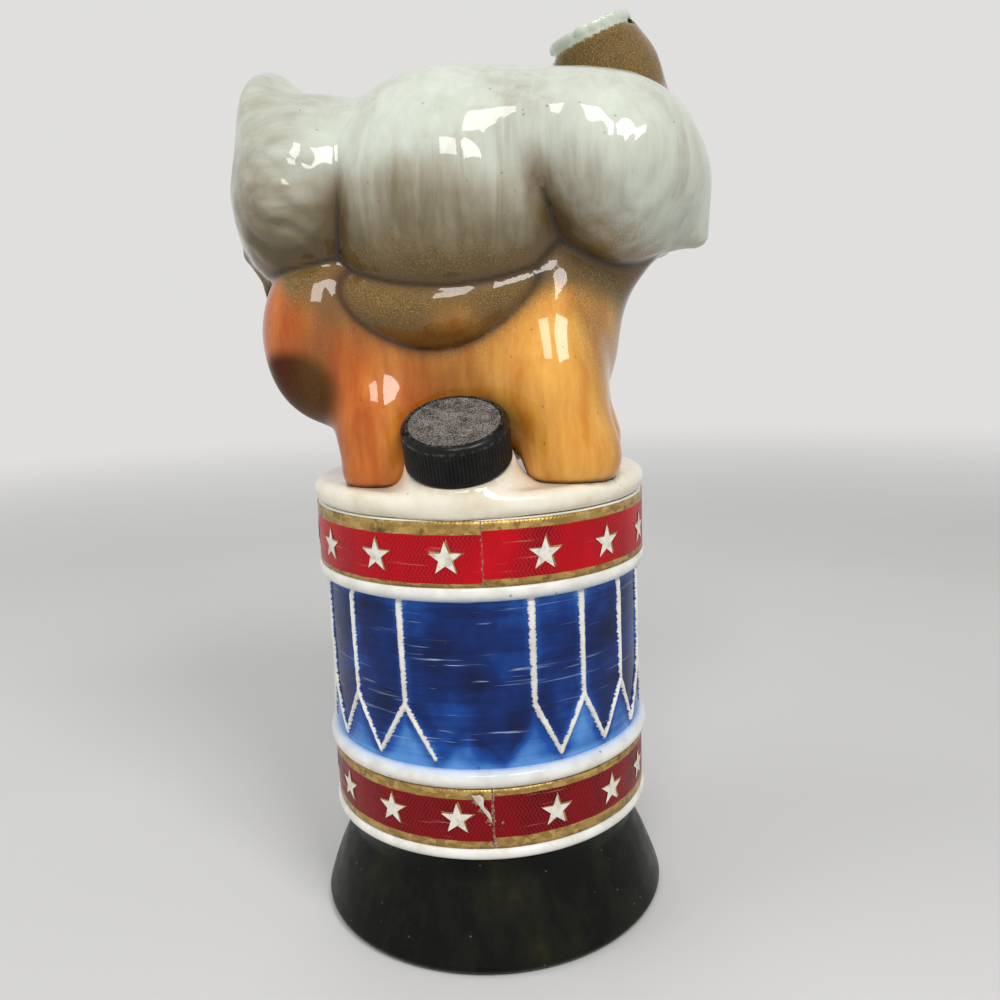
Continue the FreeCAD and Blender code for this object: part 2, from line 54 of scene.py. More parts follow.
SPOUT_AXIS = np.array((0.0, -math.sin(SPOUT_TILT), math.cos(SPOUT_TILT)))
HEAD_HEADING = 55.0
HEAD_CENTRE = np.array((46.0, 14.0, 231.0))
EYE_RADIUS = 3.8

# Spots along the trunk and the tail, each with its radius
TRUNK = (
    ((47.0, 15.5, 222.0), 14.0),
    ((54.0, 33.0, 226.0), 16.5),
    ((50.5, 35.5, 245.0), 16.5),
    ((43.2, 27.8, 262.5), 15.8),
    ((36.5, 18.5, 277.0), 12.8),
)
TRUNK_TIP, TRUNK_TIP_RADIUS = np.array(TRUNK[-1][0]), TRUNK[-1][1]
TRUNK_AIM = np.array((-0.36, -0.16, 0.92)) / np.linalg.norm((-0.36, -0.16, 0.92))
TAIL = (
    ((-66.0, -2.0, 243.0), 3.4),
    ((-68.6, -5.0, 226.0), 3.0),
    ((-66.6, -7.0, 211.0), 2.5),
    ((-61.0, -8.0, 200.0), 2.3),
    ((-60.4, -8.0, 186.0), 2.4),
    ((-58.4, -7.0, 176.0), 3.2),
)


# Soft solid fields: distances in millimetres, negative inside

def spin(axis, degrees):
    return np.array(Matrix.Rotation(math.radians(degrees), 3, axis))


def egg(points, centre, half, turn=None):
    local = points - np.asarray(centre, np.float32)
    if turn is not None:
        local = local @ turn.astype(np.float32)
    half = np.asarray(half, np.float32)
    near = np.linalg.norm(local / half, axis=-1)
    steep = np.linalg.norm(local / half ** 2, axis=-1)
    return near * (near - 1.0) / np.maximum(steep, 1e-6)


def taper(points, start, end, start_radius, end_radius):
    """Two balls joined by a cone."""
    start = np.asarray(start, np.float32)
    run = np.asarray(end, np.float32) - start
    span = float(run @ run)
    drop = start_radius - end_radius
    flat = span - drop * drop
    local = points - start
    along = local @ run
    rest = along - span
    side = np.sum((local * span - run * along[..., None]) ** 2, axis=-1)
    along_sq = along * along * span
    rest_sq = rest * rest * span
    lean = np.sign(drop) * drop * drop * side
    past_end = np.sign(rest) * flat * rest_sq > lean
    before_start = np.sign(along) * flat * along_sq < lean
    cone = (np.sqrt(np.maximum(side * flat / span, 0.0)) + along * drop) / span - start_radius
    far_ball = np.sqrt(np.maximum(side + rest_sq, 0.0)) / span - end_radius
    near_ball = np.sqrt(np.maximum(side + along_sq, 0.0)) / span - start_radius
    return np.where(past_end, far_ball, np.where(before_start, near_ball, cone))


def melt(a, b, reach):
    """Union whose joint is rounded over the given reach."""
    blend = np.maximum(reach - np.abs(a - b), 0.0) / reach
    return np.minimum(a, b) - blend * blend * reach * 0.25


def carve(a, b, reach):
    """Overlap of two fields, its edge rounded over the given reach."""
    return -melt(-a, -b, reach)


def limb(points, route, reach):
    """Tapers melted end to end along a route of spots and radii."""
    whole = None
    for (start, start_radius), (end, end_radius) in zip(route, route[1:]):
        length = taper(points, start, end, start_radius, end_radius)
        whole = length if whole is None else melt(whole, length, reach)
    return whole


def about_axis(points, foot, axis):
    """How far points lie along an axis from its foot, and how far from the axis."""
    local = points - np.asarray(foot, np.float32)
    along = local @ np.asarray(axis, np.float32)
    return along, np.sqrt(np.maximum(np.sum(local ** 2, axis=-1) - along ** 2, 0.0))


def ramp(value, low, high):
    t = np.clip((value - low) / (high - low), 0.0, 1.0)
    return t * t * (3.0 - 2.0 * t)


def bulge(a, b, width):
    return np.exp(-((a - b) / width) ** 2)


def grain(points, pitch, seed):
    """Smooth seeded noise from -0.5 to 0.5; pitch is its grain size along each axis."""
    lattice = np.random.default_rng(seed).random((32, 32, 32)).astype(np.float32)
    spot = points / np.asarray(pitch, np.float32)
    cell = np.floor(spot).astype(int)
    part = spot - cell
    part = part * part * (3.0 - 2.0 * part)
    total = 0.0
    for corner in np.ndindex(2, 2, 2):
        where = (cell + corner) % 32
        weight = np.prod(np.where(np.array(corner) == 1, part, 1.0 - part), axis=-1)
        total = total + weight * lattice[where[..., 0], where[..., 1], where[..., 2]]
    return total - 0.5


def field_slope(field, points, reach=0.05):
    """The field at points, and its outward unit slope there."""
    value = field(points)
    slope = np.stack([
        field(points + side * reach) - field(points - side * reach) for side in np.eye(3)
    ], axis=-1) / (2.0 * reach)
    size = np.linalg.norm(slope, axis=-1)
    return value / np.maximum(size, 0.2), slope / np.maximum(size, 1e-6)[:, None]


def skin(field, low, high, step):
    """Quads over a field's zero surface, one point in each cell that the surface crosses."""
    axes = [np.arange(low[i], high[i] + step, step, dtype=np.float32) for i in range(3)]
    depth = field(np.stack(np.meshgrid(*axes, indexing="ij"), axis=-1))
    inside = depth < 0.0
    shape = [n - 1 for n in depth.shape]

    def corner(values, offset):
        return values[tuple(slice(o, o + n) for o, n in zip(offset, shape))]

    filled = sum(corner(inside, o).astype(np.int8) for o in np.ndindex(2, 2, 2))
    crossed = (filled > 0) & (filled < 8)
    cells = np.argwhere(crossed)
    number = np.full(shape, -1, np.int64)
    number[crossed] = np.arange(len(cells))
    total = np.zeros((len(cells), 3), np.float64)
    count = np.zeros(len(cells))
    for axis in range(3):
        others = [i for i in range(3) if i != axis]
        for pair in np.ndindex(2, 2):
            first = [0, 0, 0]
            first[others[0]], first[others[1]] = pair
            last = list(first)
            last[axis] = 1
            a = corner(depth, first)[crossed]
            b = corner(depth, last)[crossed]
            hit = (a < 0.0) != (b < 0.0)
            spot = cells + np.array(first, float)
            spot[:, axis] += np.where(hit, a / np.where(hit, a - b, 1.0), 0.0)
            total += spot * hit[:, None]
            count += hit
    points = np.array(low) + total / count[:, None] * step
    faces = []
    for axis in range(3):
        u, v = (axis + 1) % 3, (axis + 2) % 3
        lower = np.take(inside, range(0, depth.shape[axis] - 1), axis)
        upper = np.take(inside, range(1, depth.shape[axis]), axis)
        edges = np.argwhere(lower != upper)
        for side in (u, v):
            edges = edges[(edges[:, side] > 0) & (edges[:, side] < shape[side])]
        leaving = lower[tuple(edges.T)]
        ring = []
        for du, dv in ((1, 1), (0, 1), (0, 0), (1, 0)):
            cell = edges.copy()
            cell[:, u] -= du
            cell[:, v] -= dv
            ring.append(number[tuple(cell.T)])
        quads = np.stack(ring, axis=1)
        quads[~leaving] = quads[~leaving][:, ::-1]
        faces.append(quads)
    for _ in range(2):
        value, slope = field_slope(field, points)
        points = points - np.clip(value, -step, step)[:, None] * slope
    return points, np.concatenate(faces)


# Meshes and pieces

def new_object(name, data):
    thing = bpy.data.objects.new(name, data)
    bpy.context.scene.collection.objects.link(thing)
    return thing


def new_mesh(name, points, faces):
    mesh = bpy.data.meshes.new(name)
    mesh.from_pydata([tuple(p) for p in np.asarray(points) * MM], [], [tuple(f) for f in faces])
    return mesh


def welded(mesh):
    """The mesh with points that coincide joined, and faces without area dropped."""
    work = bmesh.new()
    work.from_mesh(mesh)
    bmesh.ops.remove_doubles(work, verts=work.verts, dist=1e-6)
    bmesh.ops.recalc_face_normals(work, faces=work.faces)
    work.to_mesh(mesh)
    work.free()
    return mesh


def make_piece(name, points, faces, finish, replaced=(), marks=None, weld=False, body="decanter"):
    """A smooth mesh piece that rides on a body; marks are values kept at its points."""
    mesh = new_mesh(name, points, faces)
    for mark, values in (marks or {}).items():
        layer = mesh.attributes.new(mark, "FLOAT", "POINT")
        layer.data.foreach_set("value", np.asarray(values, np.float32))
    if weld:
        mesh = welded(mesh)
    mesh.shade_smooth()
    mesh.materials.append(finish)
    piece = new_object(name, mesh)
    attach(piece, body)
    if replaced:
        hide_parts(*replaced)


def ring_quads(rows, columns, closed_rows=False, closed_columns=True):
    row = np.arange(rows if closed_rows else rows - 1)
    column = np.arange(columns if closed_columns else columns - 1)
    r, c = np.meshgrid(row, column, indexing="ij")
    r2, c2 = (r + 1) % rows, (c + 1) % columns
    corners = ((r, c), (r, c2), (r2, c2), (r2, c))
    return np.stack([a * columns + b for a, b in corners], axis=-1).reshape(-1, 4)


def turned(profile, segments):
    """Points and quads of an outline of radius and height turned about Z."""
    angle = np.arange(segments) * 2.0 * math.pi / segments
    profile = np.asarray(profile, float)
    points = np.stack([
        profile[:, :1] * np.cos(angle),
        profile[:, :1] * np.sin(angle),
        np.repeat(profile[:, 1:], segments, axis=1),
    ], axis=-1)
    return points.reshape(-1, 3), ring_quads(len(profile), segments)


def arc(start, via, end, steps):
    """Points of the circular arc through three points, ends included."""
    (ax, ay), (bx, by), (cx, cy) = start, via, end
    a_sq, b_sq, c_sq = ax * ax + ay * ay, bx * bx + by * by, cx * cx + cy * cy
    d = 2.0 * (ax * (by - cy) + bx * (cy - ay) + cx * (ay - by))
    ux = (a_sq * (by - cy) + b_sq * (cy - ay) + c_sq * (ay - by)) / d
    uy = (a_sq * (cx - bx) + b_sq * (ax - cx) + c_sq * (bx - ax)) / d
    radius = math.hypot(ax - ux, ay - uy)
    first, middle, last = (math.atan2(y - uy, x - ux) for x, y in (start, via, end))
    middle += 2 * math.pi * (middle < first)
    last += 2 * math.pi * (last < first)
    sweep = last - first if middle < last else last - first - 2 * math.pi
    angles = [first + sweep * k / steps for k in range(steps + 1)]
    return [(ux + radius * math.cos(a), uy + radius * math.sin(a)) for a in angles]


def line(start, end, steps):
    start, end = np.array(start), np.array(end)
    return [tuple(start + (end - start) * k / steps) for k in range(steps + 1)]


# Finishes

def tint(colour):
    """A colour as seen on screen, from 0 to 255, as the linear value a shader takes."""
    linear = [((c / 255.0 + 0.055) / 1.055) ** 2.4 if c > 10.3 else c / 255.0 / 12.92 for c in colour]
    return (*linear, 1.0)


class Finish:
    """A material or a node group, and short ways to add and wire its nodes."""

    def __init__(self, name=None, tree=None):
        if tree is None:
            self.material = bpy.data.materials.new(name)
            self.material.use_nodes = True
            tree = self.material.node_tree
            self.shader = tree.nodes["Principled BSDF"]
        self.tree = tree

    def feed(self, socket, value):
        if isinstance(value, bpy.types.NodeSocket):
            self.tree.links.new(value, socket)
        else:
            socket.default_value = value

    def fill(self, node, sockets):
        for key, value in sockets.items():
            self.feed(node.inputs[key.replace("_", " ")], value)
        return node

    def add(self, kind, settings=None, **sockets):
        node = self.tree.nodes.new(kind)
        for key, value in (settings or {}).items():
            setattr(node, key, value)
        return self.fill(node, sockets)

    def gloss(self, **sockets):
        self.fill(self.shader, sockets)

    def use(self, group, **sockets):
        return self.add("ShaderNodeGroup", {"node_tree": group}, **sockets).outputs

    def mark(self, name):
        return self.add("ShaderNodeAttribute", {"attribute_name": name}).outputs["Fac"]

    def place(self):
        return self.add("ShaderNodeTexCoord").outputs["Object"]

    def split(self, vector):
        return self.add("ShaderNodeSeparateXYZ", Vector=vector).outputs

    def scaled(self, vector, scale, turn=(0, 0, 0)):
        return self.add("ShaderNodeMapping", Vector=vector, Scale=scale, Rotation=turn).outputs["Vector"]

    def noise(self, vector, scale, detail, rough, distort=0.0):
        return self.add(
            "ShaderNodeTexNoise",
            Vector=vector, Scale=scale, Detail=detail, Roughness=rough, Distortion=distort,
        ).outputs["Fac"]

    def streaks(self, place, scale, detail=4.0, rough=0.6, distort=0.0, turn=(0, 0, 0)):
        """Noise drawn out along the axes of small scale."""
        return self.noise(self.scaled(place, scale, turn), 1.0, detail, rough, distort)

    def flakes(self, vector, scale):
        return self.add("ShaderNodeTexVoronoi", Vector=vector, Scale=scale).outputs

    def far(self, place, spot):
        node = self.add("ShaderNodeVectorMath", {"operation": "DISTANCE"})
        self.feed(node.inputs[0], place)
        self.feed(node.inputs[1], tuple(spot))
        return node.outputs["Value"]

    def maths(self, operation, a, b=0.0):
        node = self.add("ShaderNodeMath", {"operation": operation})
        self.feed(node.inputs[0], a)
        self.feed(node.inputs[1], b)
        return node.outputs["Value"]

    def sum(self, *values):
        total = values[0]
        for value in values[1:]:
            total = self.maths("ADD", total, value)
        return total

    def times(self, a, b):
        return self.maths("MULTIPLY", a, b)

    def less(self, a, b):
        return self.maths("SUBTRACT", a, b)

    def sway(self, value, size):
        """A value around a half as one around nought, times a size."""
        return self.times(self.less(value, 0.5), size)

    def span(self, value, low, high, out_low=0.0, out_high=1.0):
        return self.add(
            "ShaderNodeMapRange", {"interpolation_type": "SMOOTHSTEP"},
            Value=value, From_Min=low, From_Max=high, To_Min=out_low, To_Max=out_high,
        ).outputs["Result"]

    def mix(self, share, first, second):
        node = self.add("ShaderNodeMix", {"data_type": "RGBA"})
        for slot, value in ((0, share), (6, first), (7, second)):
            self.feed(node.inputs[slot], tint(value) if isinstance(value, (tuple, list)) else value)
        return node.outputs[2]

    def ladder(self, value, *stops):
        node = self.add("ShaderNodeValToRGB", Fac=value)
        while len(node.color_ramp.elements) < len(stops):
            node.color_ramp.elements.new(0.5)
        for element, (position, colour) in zip(node.color_ramp.elements, stops):
            element.position = position
            element.color = tint(colour)
        return node.outputs["Color"]

    def bump(self, height, strength, distance):
        node = self.add("ShaderNodeBump", Height=height, Strength=strength, Distance=distance)
        self.gloss(Normal=node.outputs["Normal"])

    def specks(self, place, pitch, share):
        return self.times(self.use(KILN_SPECKS, Place=place, Pitch=pitch)["Mask"], share)

    def handled(self, place, clean, dull):
        return self.use(HANDLING, Place=place, Clean=clean, Dull=dull)["Roughness"]

    def glaze_coat(self, place, coat, pinholes, strength, distance):
        self.gloss(Coat_Weight=coat, Coat_Roughness=0.03, Coat_IOR=1.5, IOR=1.5)
        self.bump(self.use(GLAZE_SKIN, Place=place, Pinholes=pinholes)["Height"], strength, distance)


def effect(name, values, output):
    """A new node group that takes a place and named values: it, its node helper and its end sockets."""
    group = bpy.data.node_groups.new(name, "ShaderNodeTree")
    group.interface.new_socket("Place", in_out="INPUT", socket_type="NodeSocketVector")
    for label, value in values.items():
        socket = group.interface.new_socket(label, in_out="INPUT", socket_type="NodeSocketFloat")
        socket.default_value = value
    group.interface.new_socket(output, in_out="OUTPUT", socket_type="NodeSocketFloat")
    given = group.nodes.new("NodeGroupInput").outputs
    result = group.nodes.new("NodeGroupOutput").inputs
    return group, Finish(tree=group), given, result[output]


def glaze_skin_effect():
    """The slow unevenness of a dipped glaze, with fine pinholes."""
    group, work, given, result = effect("glaze_skin", {"Pinholes": 0.3}, "Height")
    slow = work.noise(given["Place"], 95.0, 2.0, 0.4)
    fine = work.noise(given["Place"], 620.0, 2.0, 0.5)
    spots = work.flakes(given["Place"], 900.0)["Distance"]
    holes = work.times(work.span(spots, 0.0, 0.16, 1.0, 0.0), given["Pinholes"])
    work.feed(result, work.less(work.sum(slow, work.times(fine, 0.12)), holes))
    return group


def kiln_specks_effect():
    """Small dark specks scattered through a pale glaze."""
    group, work, given, result = effect("kiln_specks", {"Pitch": 330.0}, "Mask")
    cells = work.flakes(given["Place"], given["Pitch"])
    chosen = work.span(work.split(cells["Color"])["X"], 0.80, 0.84)
    work.feed(result, work.times(chosen, work.span(cells["Distance"], 0.05, 0.17, 1.0, 0.0)))
    return group


def handling_effect():
    """Uneven dulling from dust and handling."""
    group, work, given, result = effect("handling", {"Clean": 0.2, "Dull": 0.4}, "Roughness")
    cloud = work.noise(given["Place"], 70.0, 4.0, 0.6)
    smear = work.streaks(given["Place"], (90.0, 90.0, 300.0), 3.0)
    share = work.span(work.times(work.sum(cloud, smear), 0.5), 0.38, 0.66)
    spread = work.less(given["Dull"], given["Clean"])
    work.feed(result, work.sum(given["Clean"], work.times(share, spread)))
    return group


GLAZE_SKIN = glaze_skin_effect()
KILN_SPECKS = kiln_specks_effect()
HANDLING = handling_effect()

# Painted rings of an eye from the outside in: where each starts and ends to fade, its share and its colour
EYE_RINGS = (
    # The first ring is painted shade in the crease round the eye's bulge; the others are the eye's white and
    # its pupil.
    (4.4, 4.9, 0.9, (40, 28, 16)),
    (3.6, 3.9, 1.0, (226, 221, 204)),
    (2.3, 2.55, 1.0, (24, 17, 12)),
)


def figure_glaze():
    """Pale brushed glaze above, speckled umber airbrush, and orange legs."""
    f = Finish("figure_glaze")
    place = f.place()
    across = f.split(place)["X"]
    upright = f.streaks(place, (210.0, 210.0, 26.0), 5.0, 0.62, 0.4)
    slanted = f.streaks(place, (60.0, 190.0, 190.0), turn=(0.0, 0.65, 0.0))
    on_rump = f.span(across, -0.030, -0.044)
    strokes = f.sum(f.times(upright, f.less(1.0, on_rump)), f.times(slanted, on_rump))
    clouds = f.noise(place, 42.0, 3.0, 0.5)
    tone = f.sum(0.26, f.times(strokes, 0.34), f.times(clouds, 0.36))
    # Painted shade: the pale tone is darkened low on each lobe, on the rump and beside the creases, less on the
    # lit right side.
    tone = f.less(tone, f.times(f.mark("painted_shade"), 0.38))
    pale = f.ladder(
        tone, (0.16, (92, 80, 52)), (0.30, (128, 118, 94)), (0.44, (164, 160, 143)),
        (0.58, (190, 195, 180)), (0.78, (212, 219, 204)),
    )
    warm = f.streaks(place, (150.0, 150.0, 34.0))
    # Painted light: the orange is painted lighter and yellower towards the right, the side where the light
    # falls.
    lit_towards_right = f.span(f.sum(across, f.sway(warm, 0.03)), -0.035, 0.030)
    rust = f.ladder(warm, (0.3, (166, 72, 12)), (0.7, (204, 112, 36)))
    amber = f.ladder(warm, (0.3, (204, 130, 40)), (0.7, (236, 178, 84)))
    dots = f.noise(place, 3000.0, 2.0, 0.6)
    spray = f.sway(dots, 1.5)
    on_legs = f.span(f.sum(f.mark("orange"), f.times(spray, 0.5)), 0.32, 0.68)
    glaze = f.mix(on_legs, pale, f.mix(lit_towards_right, rust, amber))
    umber = f.ladder(dots, (0.30, (62, 46, 18)), (0.50, (104, 80, 38)), (0.70, (168, 132, 70)))
    glaze = f.mix(f.span(f.sum(f.mark("umber"), spray), 0.20, 0.85), glaze, umber)
    # Painted shadow: dark red-brown under the haunch, between the legs and inside the trunk's hollow end, with
    # less coat there.
    painted_underside_shadow = f.mark("painted_underside_shadow")
    glaze = f.mix(f.times(painted_underside_shadow, f.span(warm, 0.2, 0.5, 0.85, 1.0)), glaze, (52, 10, 2))
    # Painted shade: a speckled brown halo beside the creases.
    glaze = f.mix(f.times(f.mark("painted_crease_halo"), f.span(dots, 0.35, 0.65, 0.35, 0.8)), glaze, (104, 78, 42))
    # Painted shade: dark brown lines in the creases and hollows, and a painted shadow line at the figure's
    # foot.
    glaze = f.mix(f.times(f.mark("painted_crease_shade"), 0.92), glaze, (38, 25, 10))
    glaze = f.mix(f.specks(place, 330.0, 0.5), glaze, (70, 52, 32))
    for look in eye_looks():
        gap = f.sum(f.times(f.far(place, look * MM), 1000.0), f.sway(clouds, 0.4))
        for low, high, share, colour in EYE_RINGS:
            glaze = f.mix(f.span(gap, low, high, share, 0.0), glaze, colour)
    f.gloss(Base_Color=glaze, Roughness=0.28, Specular_IOR_Level=0.05)
    f.glaze_coat(place, f.times(f.less(1.0, painted_underside_shadow), 0.72), 0.15, 0.22, 0.0007)
    return f.material


def drum_glaze():
    """Cobalt panel with brushed streaks, ragged white rope and creamy hoops."""
    f = Finish("drum_glaze")
    place = f.place()
    streak = f.streaks(place, (28.0, 28.0, 520.0), 4.0, 0.65, 0.3)
    pool = f.noise(place, 60.0, 3.0, 0.5)
    depth = f.sum(f.times(streak, 0.22), f.times(pool, 0.74), f.times(f.mark("shallow"), 0.30))
    blue = f.ladder(
        depth, (0.32, (1, 12, 46)), (0.50, (4, 38, 102)), (0.68, (18, 76, 158)), (0.92, (88, 146, 212))
    )
    scratch = f.streaks(place, (34.0, 34.0, 900.0), 2.0, 0.7, 0.2)
    thin = f.times(f.span(scratch, 0.63, 0.72), f.mark("bare"))
    blue = f.mix(f.times(thin, 0.75), blue, (176, 196, 220))
    wander = f.sway(f.streaks(place, (420.0, 420.0, 1500.0), 3.0), 1.7)
    rope = f.span(f.sum(f.mark("rope_gap"), wander), -0.30, 0.12, 1.0, 0.0)
    panel = f.mark("panel")
    hoop = f.span(f.sum(panel, f.times(wander, 0.12)), -0.35, 0.35, 1.0, 0.0)
    white = f.ladder(
        f.noise(place, 130.0, 3.0, 0.6), (0.3, (212, 208, 196)), (0.6, (232, 230, 222)), (0.85, (240, 240, 236))
    )
    hoop_white = f.mix(f.span(panel, -2.6, 0.2, 0.0, 0.55), white, (176, 200, 230))
    glaze = f.mix(rope, f.mix(hoop, blue, hoop_white), white)
    glaze = f.mix(f.specks(place, 260.0, 0.55), glaze, (64, 54, 44))
    f.gloss(Base_Color=glaze, Roughness=0.24, Specular_IOR_Level=0.05)
    f.glaze_coat(place, 0.36, 0.2, 0.2, 0.0005)
    return f.material


def rim_glaze():
    """Creamy white glaze, turning brown round the feet, at the spout boss's foot and along its lower edge."""
    f = Finish("rim_glaze")
    place = f.place()
    cloud = f.noise(place, 85.0, 4.0, 0.6)
    white = f.ladder(cloud, (0.28, (216, 204, 178)), (0.5, (232, 223, 202)), (0.75, (242, 235, 218)))
    corner_brown = f.times(f.mark("corner"), f.span(f.noise(place, 260.0, 3.0, 0.6), 0.3, 0.7, 0.35, 1.0))
    glaze = f.mix(f.times(corner_brown, 0.75), white, (120, 92, 58))
    glaze = f.mix(f.specks(place, 240.0, 0.5), glaze, (96, 76, 52))
    f.gloss(Base_Color=glaze, Roughness=0.25, Specular_IOR_Level=0.15)
    f.glaze_coat(place, 0.72, 0.2, 0.22, 0.0006)
    return f.material


def base_glaze():
    """Green-black glaze, mottled brown where it runs thin, with a little dust."""
    f = Finish("base_glaze")
    place = f.place()
    cloud = f.noise(place, 48.0, 4.0, 0.6)
    run = f.streaks(place, (120.0, 120.0, 30.0))
    mottle = f.times(f.sum(cloud, run), 0.5)
    dark = f.ladder(
        mottle, (0.30, (5, 6, 5)), (0.48, (11, 13, 10)), (0.62, (27, 27, 16)), (0.80, (48, 42, 23))
    )
    f.gloss(Base_Color=f.mix(f.specks(place, 420.0, 0.35), dark, (150, 146, 132)))
    f.gloss(Roughness=f.handled(place, 0.26, 0.46), Specular_IOR_Level=0.04)
    f.glaze_coat(place, 0.18, 0.35, 0.3, 0.0007)
    return f.material


def band_foil(name, red_low, red_high, wear, deep_red, bright_red):
    """Red foil print with a fine zigzag, between worn gold borders."""
    f = Finish(name)
    place = f.place()
    height = f.times(f.split(place)["Z"], 1000.0)
    around = f.mark("around")
    wobble = f.sway(f.noise(place, 160.0, 3.0, 0.6), 0.7)
    slope = f.times(f.less(around, 163.0), 1.1 / 326.0)
    level = f.sum(height, wobble, slope)
    above_low = f.span(level, red_low - 0.1, red_low + 0.1)
    red_part = f.times(above_low, f.span(level, red_high - 0.1, red_high + 0.1, 1.0, 0.0))
    fold = f.maths("ABSOLUTE", f.less(f.maths("FRACT", f.times(height, 0.30)), 0.5))
    zigzag = f.maths("SINE", f.times(f.sum(around, f.times(fold, 2.6)), 5.2))
    weave = f.span(zigzag, -0.4, 0.9)
    # Painted sheen: broad patches of the red are painted darker, brighter and up to a shine, as crumpled foil
    # catches light.
    sheet = f.streaks(place, (62.0, 62.0, 26.0))
    painted_sheen_red = [min(255, 1.16 * c) for c in bright_red]
    red = f.ladder(sheet, (0.36, deep_red), (0.50, bright_red), (0.66, painted_sheen_red))
    thread = f.times(weave, f.span(sheet, 0.62, 0.42, 0.16, 0.52))
    red = f.mix(thread, red, [c + 34 for c in bright_red])
    scuff = f.streaks(place, (30.0, 30.0, 700.0), 4.0, 0.7, turn=(0.25, 0.0, 0.0))
    red = f.mix(f.times(f.span(scuff, 0.62, 0.72), 0.5), red, (226, 140, 132))
    leaf = f.split(f.flakes(f.scaled(place, (420.0, 420.0, 700.0)), 1.0)["Color"])["X"]
    leaf = f.ladder(leaf, (0.1, (152, 121, 64)), (0.5, (170, 138, 77)), (0.9, (192, 160, 97)))
    tarnish = f.span(f.noise(place, 210.0, 4.0, 0.65), 0.56 - wear, 0.74 - wear)
    gold = f.mix(f.times(tarnish, 0.8), leaf, (66, 56, 38))
    fray = f.sway(f.noise(place, 1100.0, 3.0, 0.7), 1.6)
    ragged = f.span(f.sum(f.mark("seam"), fray), 0.42, 0.62)
    paper = f.ladder(
        f.noise(place, 1700.0, 2.0, 0.7), (0.34, (96, 50, 38)), (0.52, (164, 118, 92)), (0.70, (226, 210, 188))
    )
    f.gloss(Base_Color=f.mix(ragged, f.mix(red_part, gold, red), paper))
    f.gloss(Metallic=f.sum(0.55, f.times(red_part, -0.25)), Roughness=f.handled(place, 0.26, 0.42))
    f.gloss(Coat_Weight=0.08, Coat_Roughness=0.12, Specular_IOR_Level=0.12)
    relief = f.sum(f.times(weave, 0.35), f.times(f.noise(place, 150.0, 3.0, 0.6), 1.4))
    f.bump(relief, 0.45, 0.0003)
    return f.material


def star_print():
    """White print of the stars, a little dirty and cracked."""
    f = Finish("star_print")
    place = f.place()
    cloud = f.noise(place, 420.0, 4.0, 0.65)
    paper = f.ladder(cloud, (0.30, (186, 176, 158)), (0.50, (226, 220, 206)), (0.75, (238, 234, 224)))
    f.gloss(Base_Color=f.mix(f.specks(place, 700.0, 0.7), paper, (120, 84, 66)))
    f.gloss(Roughness=f.handled(place, 0.35, 0.55))
    return f.material


def star_gold():
    """Gold edge printed a little out of register with the stars."""
    f = Finish("star_gold")
    place = f.place()
    cloud = f.noise(place, 380.0, 4.0, 0.65)
    gold = f.ladder(cloud, (0.32, (112, 74, 40)), (0.55, (176, 132, 78)), (0.78, (212, 174, 112)))
    f.gloss(Base_Color=gold, Metallic=0.6, Roughness=f.handled(place, 0.3, 0.5))
    return f.material


def cap_plastic():
    """Black moulded plastic with a stippled grey disc on top and scuffed edges."""
    f = Finish("cap_plastic")
    place = f.place()
    stipple = f.noise(place, 2600.0, 2.0, 0.7)
    cloud = f.noise(place, 240.0, 4.0, 0.6)
    disc = f.mark("disc")
    grit = f.span(f.sum(f.times(stipple, 0.8), f.times(cloud, 0.35)), 0.48, 0.72)
    top = f.mix(grit, (42, 41, 40), (150, 145, 138))
    scuff = f.times(f.mark("edge"), f.span(f.noise(place, 700.0, 3.0, 0.6), 0.45, 0.62))
    skirt = f.ladder(cloud, (0.35, (13, 13, 13)), (0.65, (28, 27, 26)))
    skirt = f.mix(f.times(scuff, 0.35), skirt, (120, 118, 114))
    f.gloss(Base_Color=f.mix(disc, skirt, top), Specular_IOR_Level=0.16)
    f.gloss(Roughness=f.sum(f.handled(place, 0.14, 0.30), f.times(disc, 0.35)))
    f.bump(f.times(stipple, disc), 0.6, 0.0004)
    return f.material


def sleeve_plastic():
    """Off-white moulded sleeve."""
    f = Finish("sleeve_plastic")
    place = f.place()
    cloud = f.noise(place, 160.0, 4.0, 0.6)
    f.gloss(Base_Color=f.ladder(cloud, (0.3, (206, 200, 184)), (0.7, (228, 224, 212))))
    f.gloss(Roughness=f.handled(place, 0.32, 0.5))
    f.bump(f.noise(place, 1200.0, 2.0, 0.6), 0.15, 0.0002)
    return f.material


def liner_board():
    """Pulp board disc with a waxed face."""
    f = Finish("liner_board")
    fibre = f.streaks(f.place(), (900.0, 300.0, 900.0), 4.0, 0.7)
    f.gloss(Base_Color=f.ladder(fibre, (0.3, (178, 160, 128)), (0.7, (214, 200, 172))), Roughness=0.7)
    f.bump(fibre, 0.3, 0.0003)
    return f.material


# The elephant

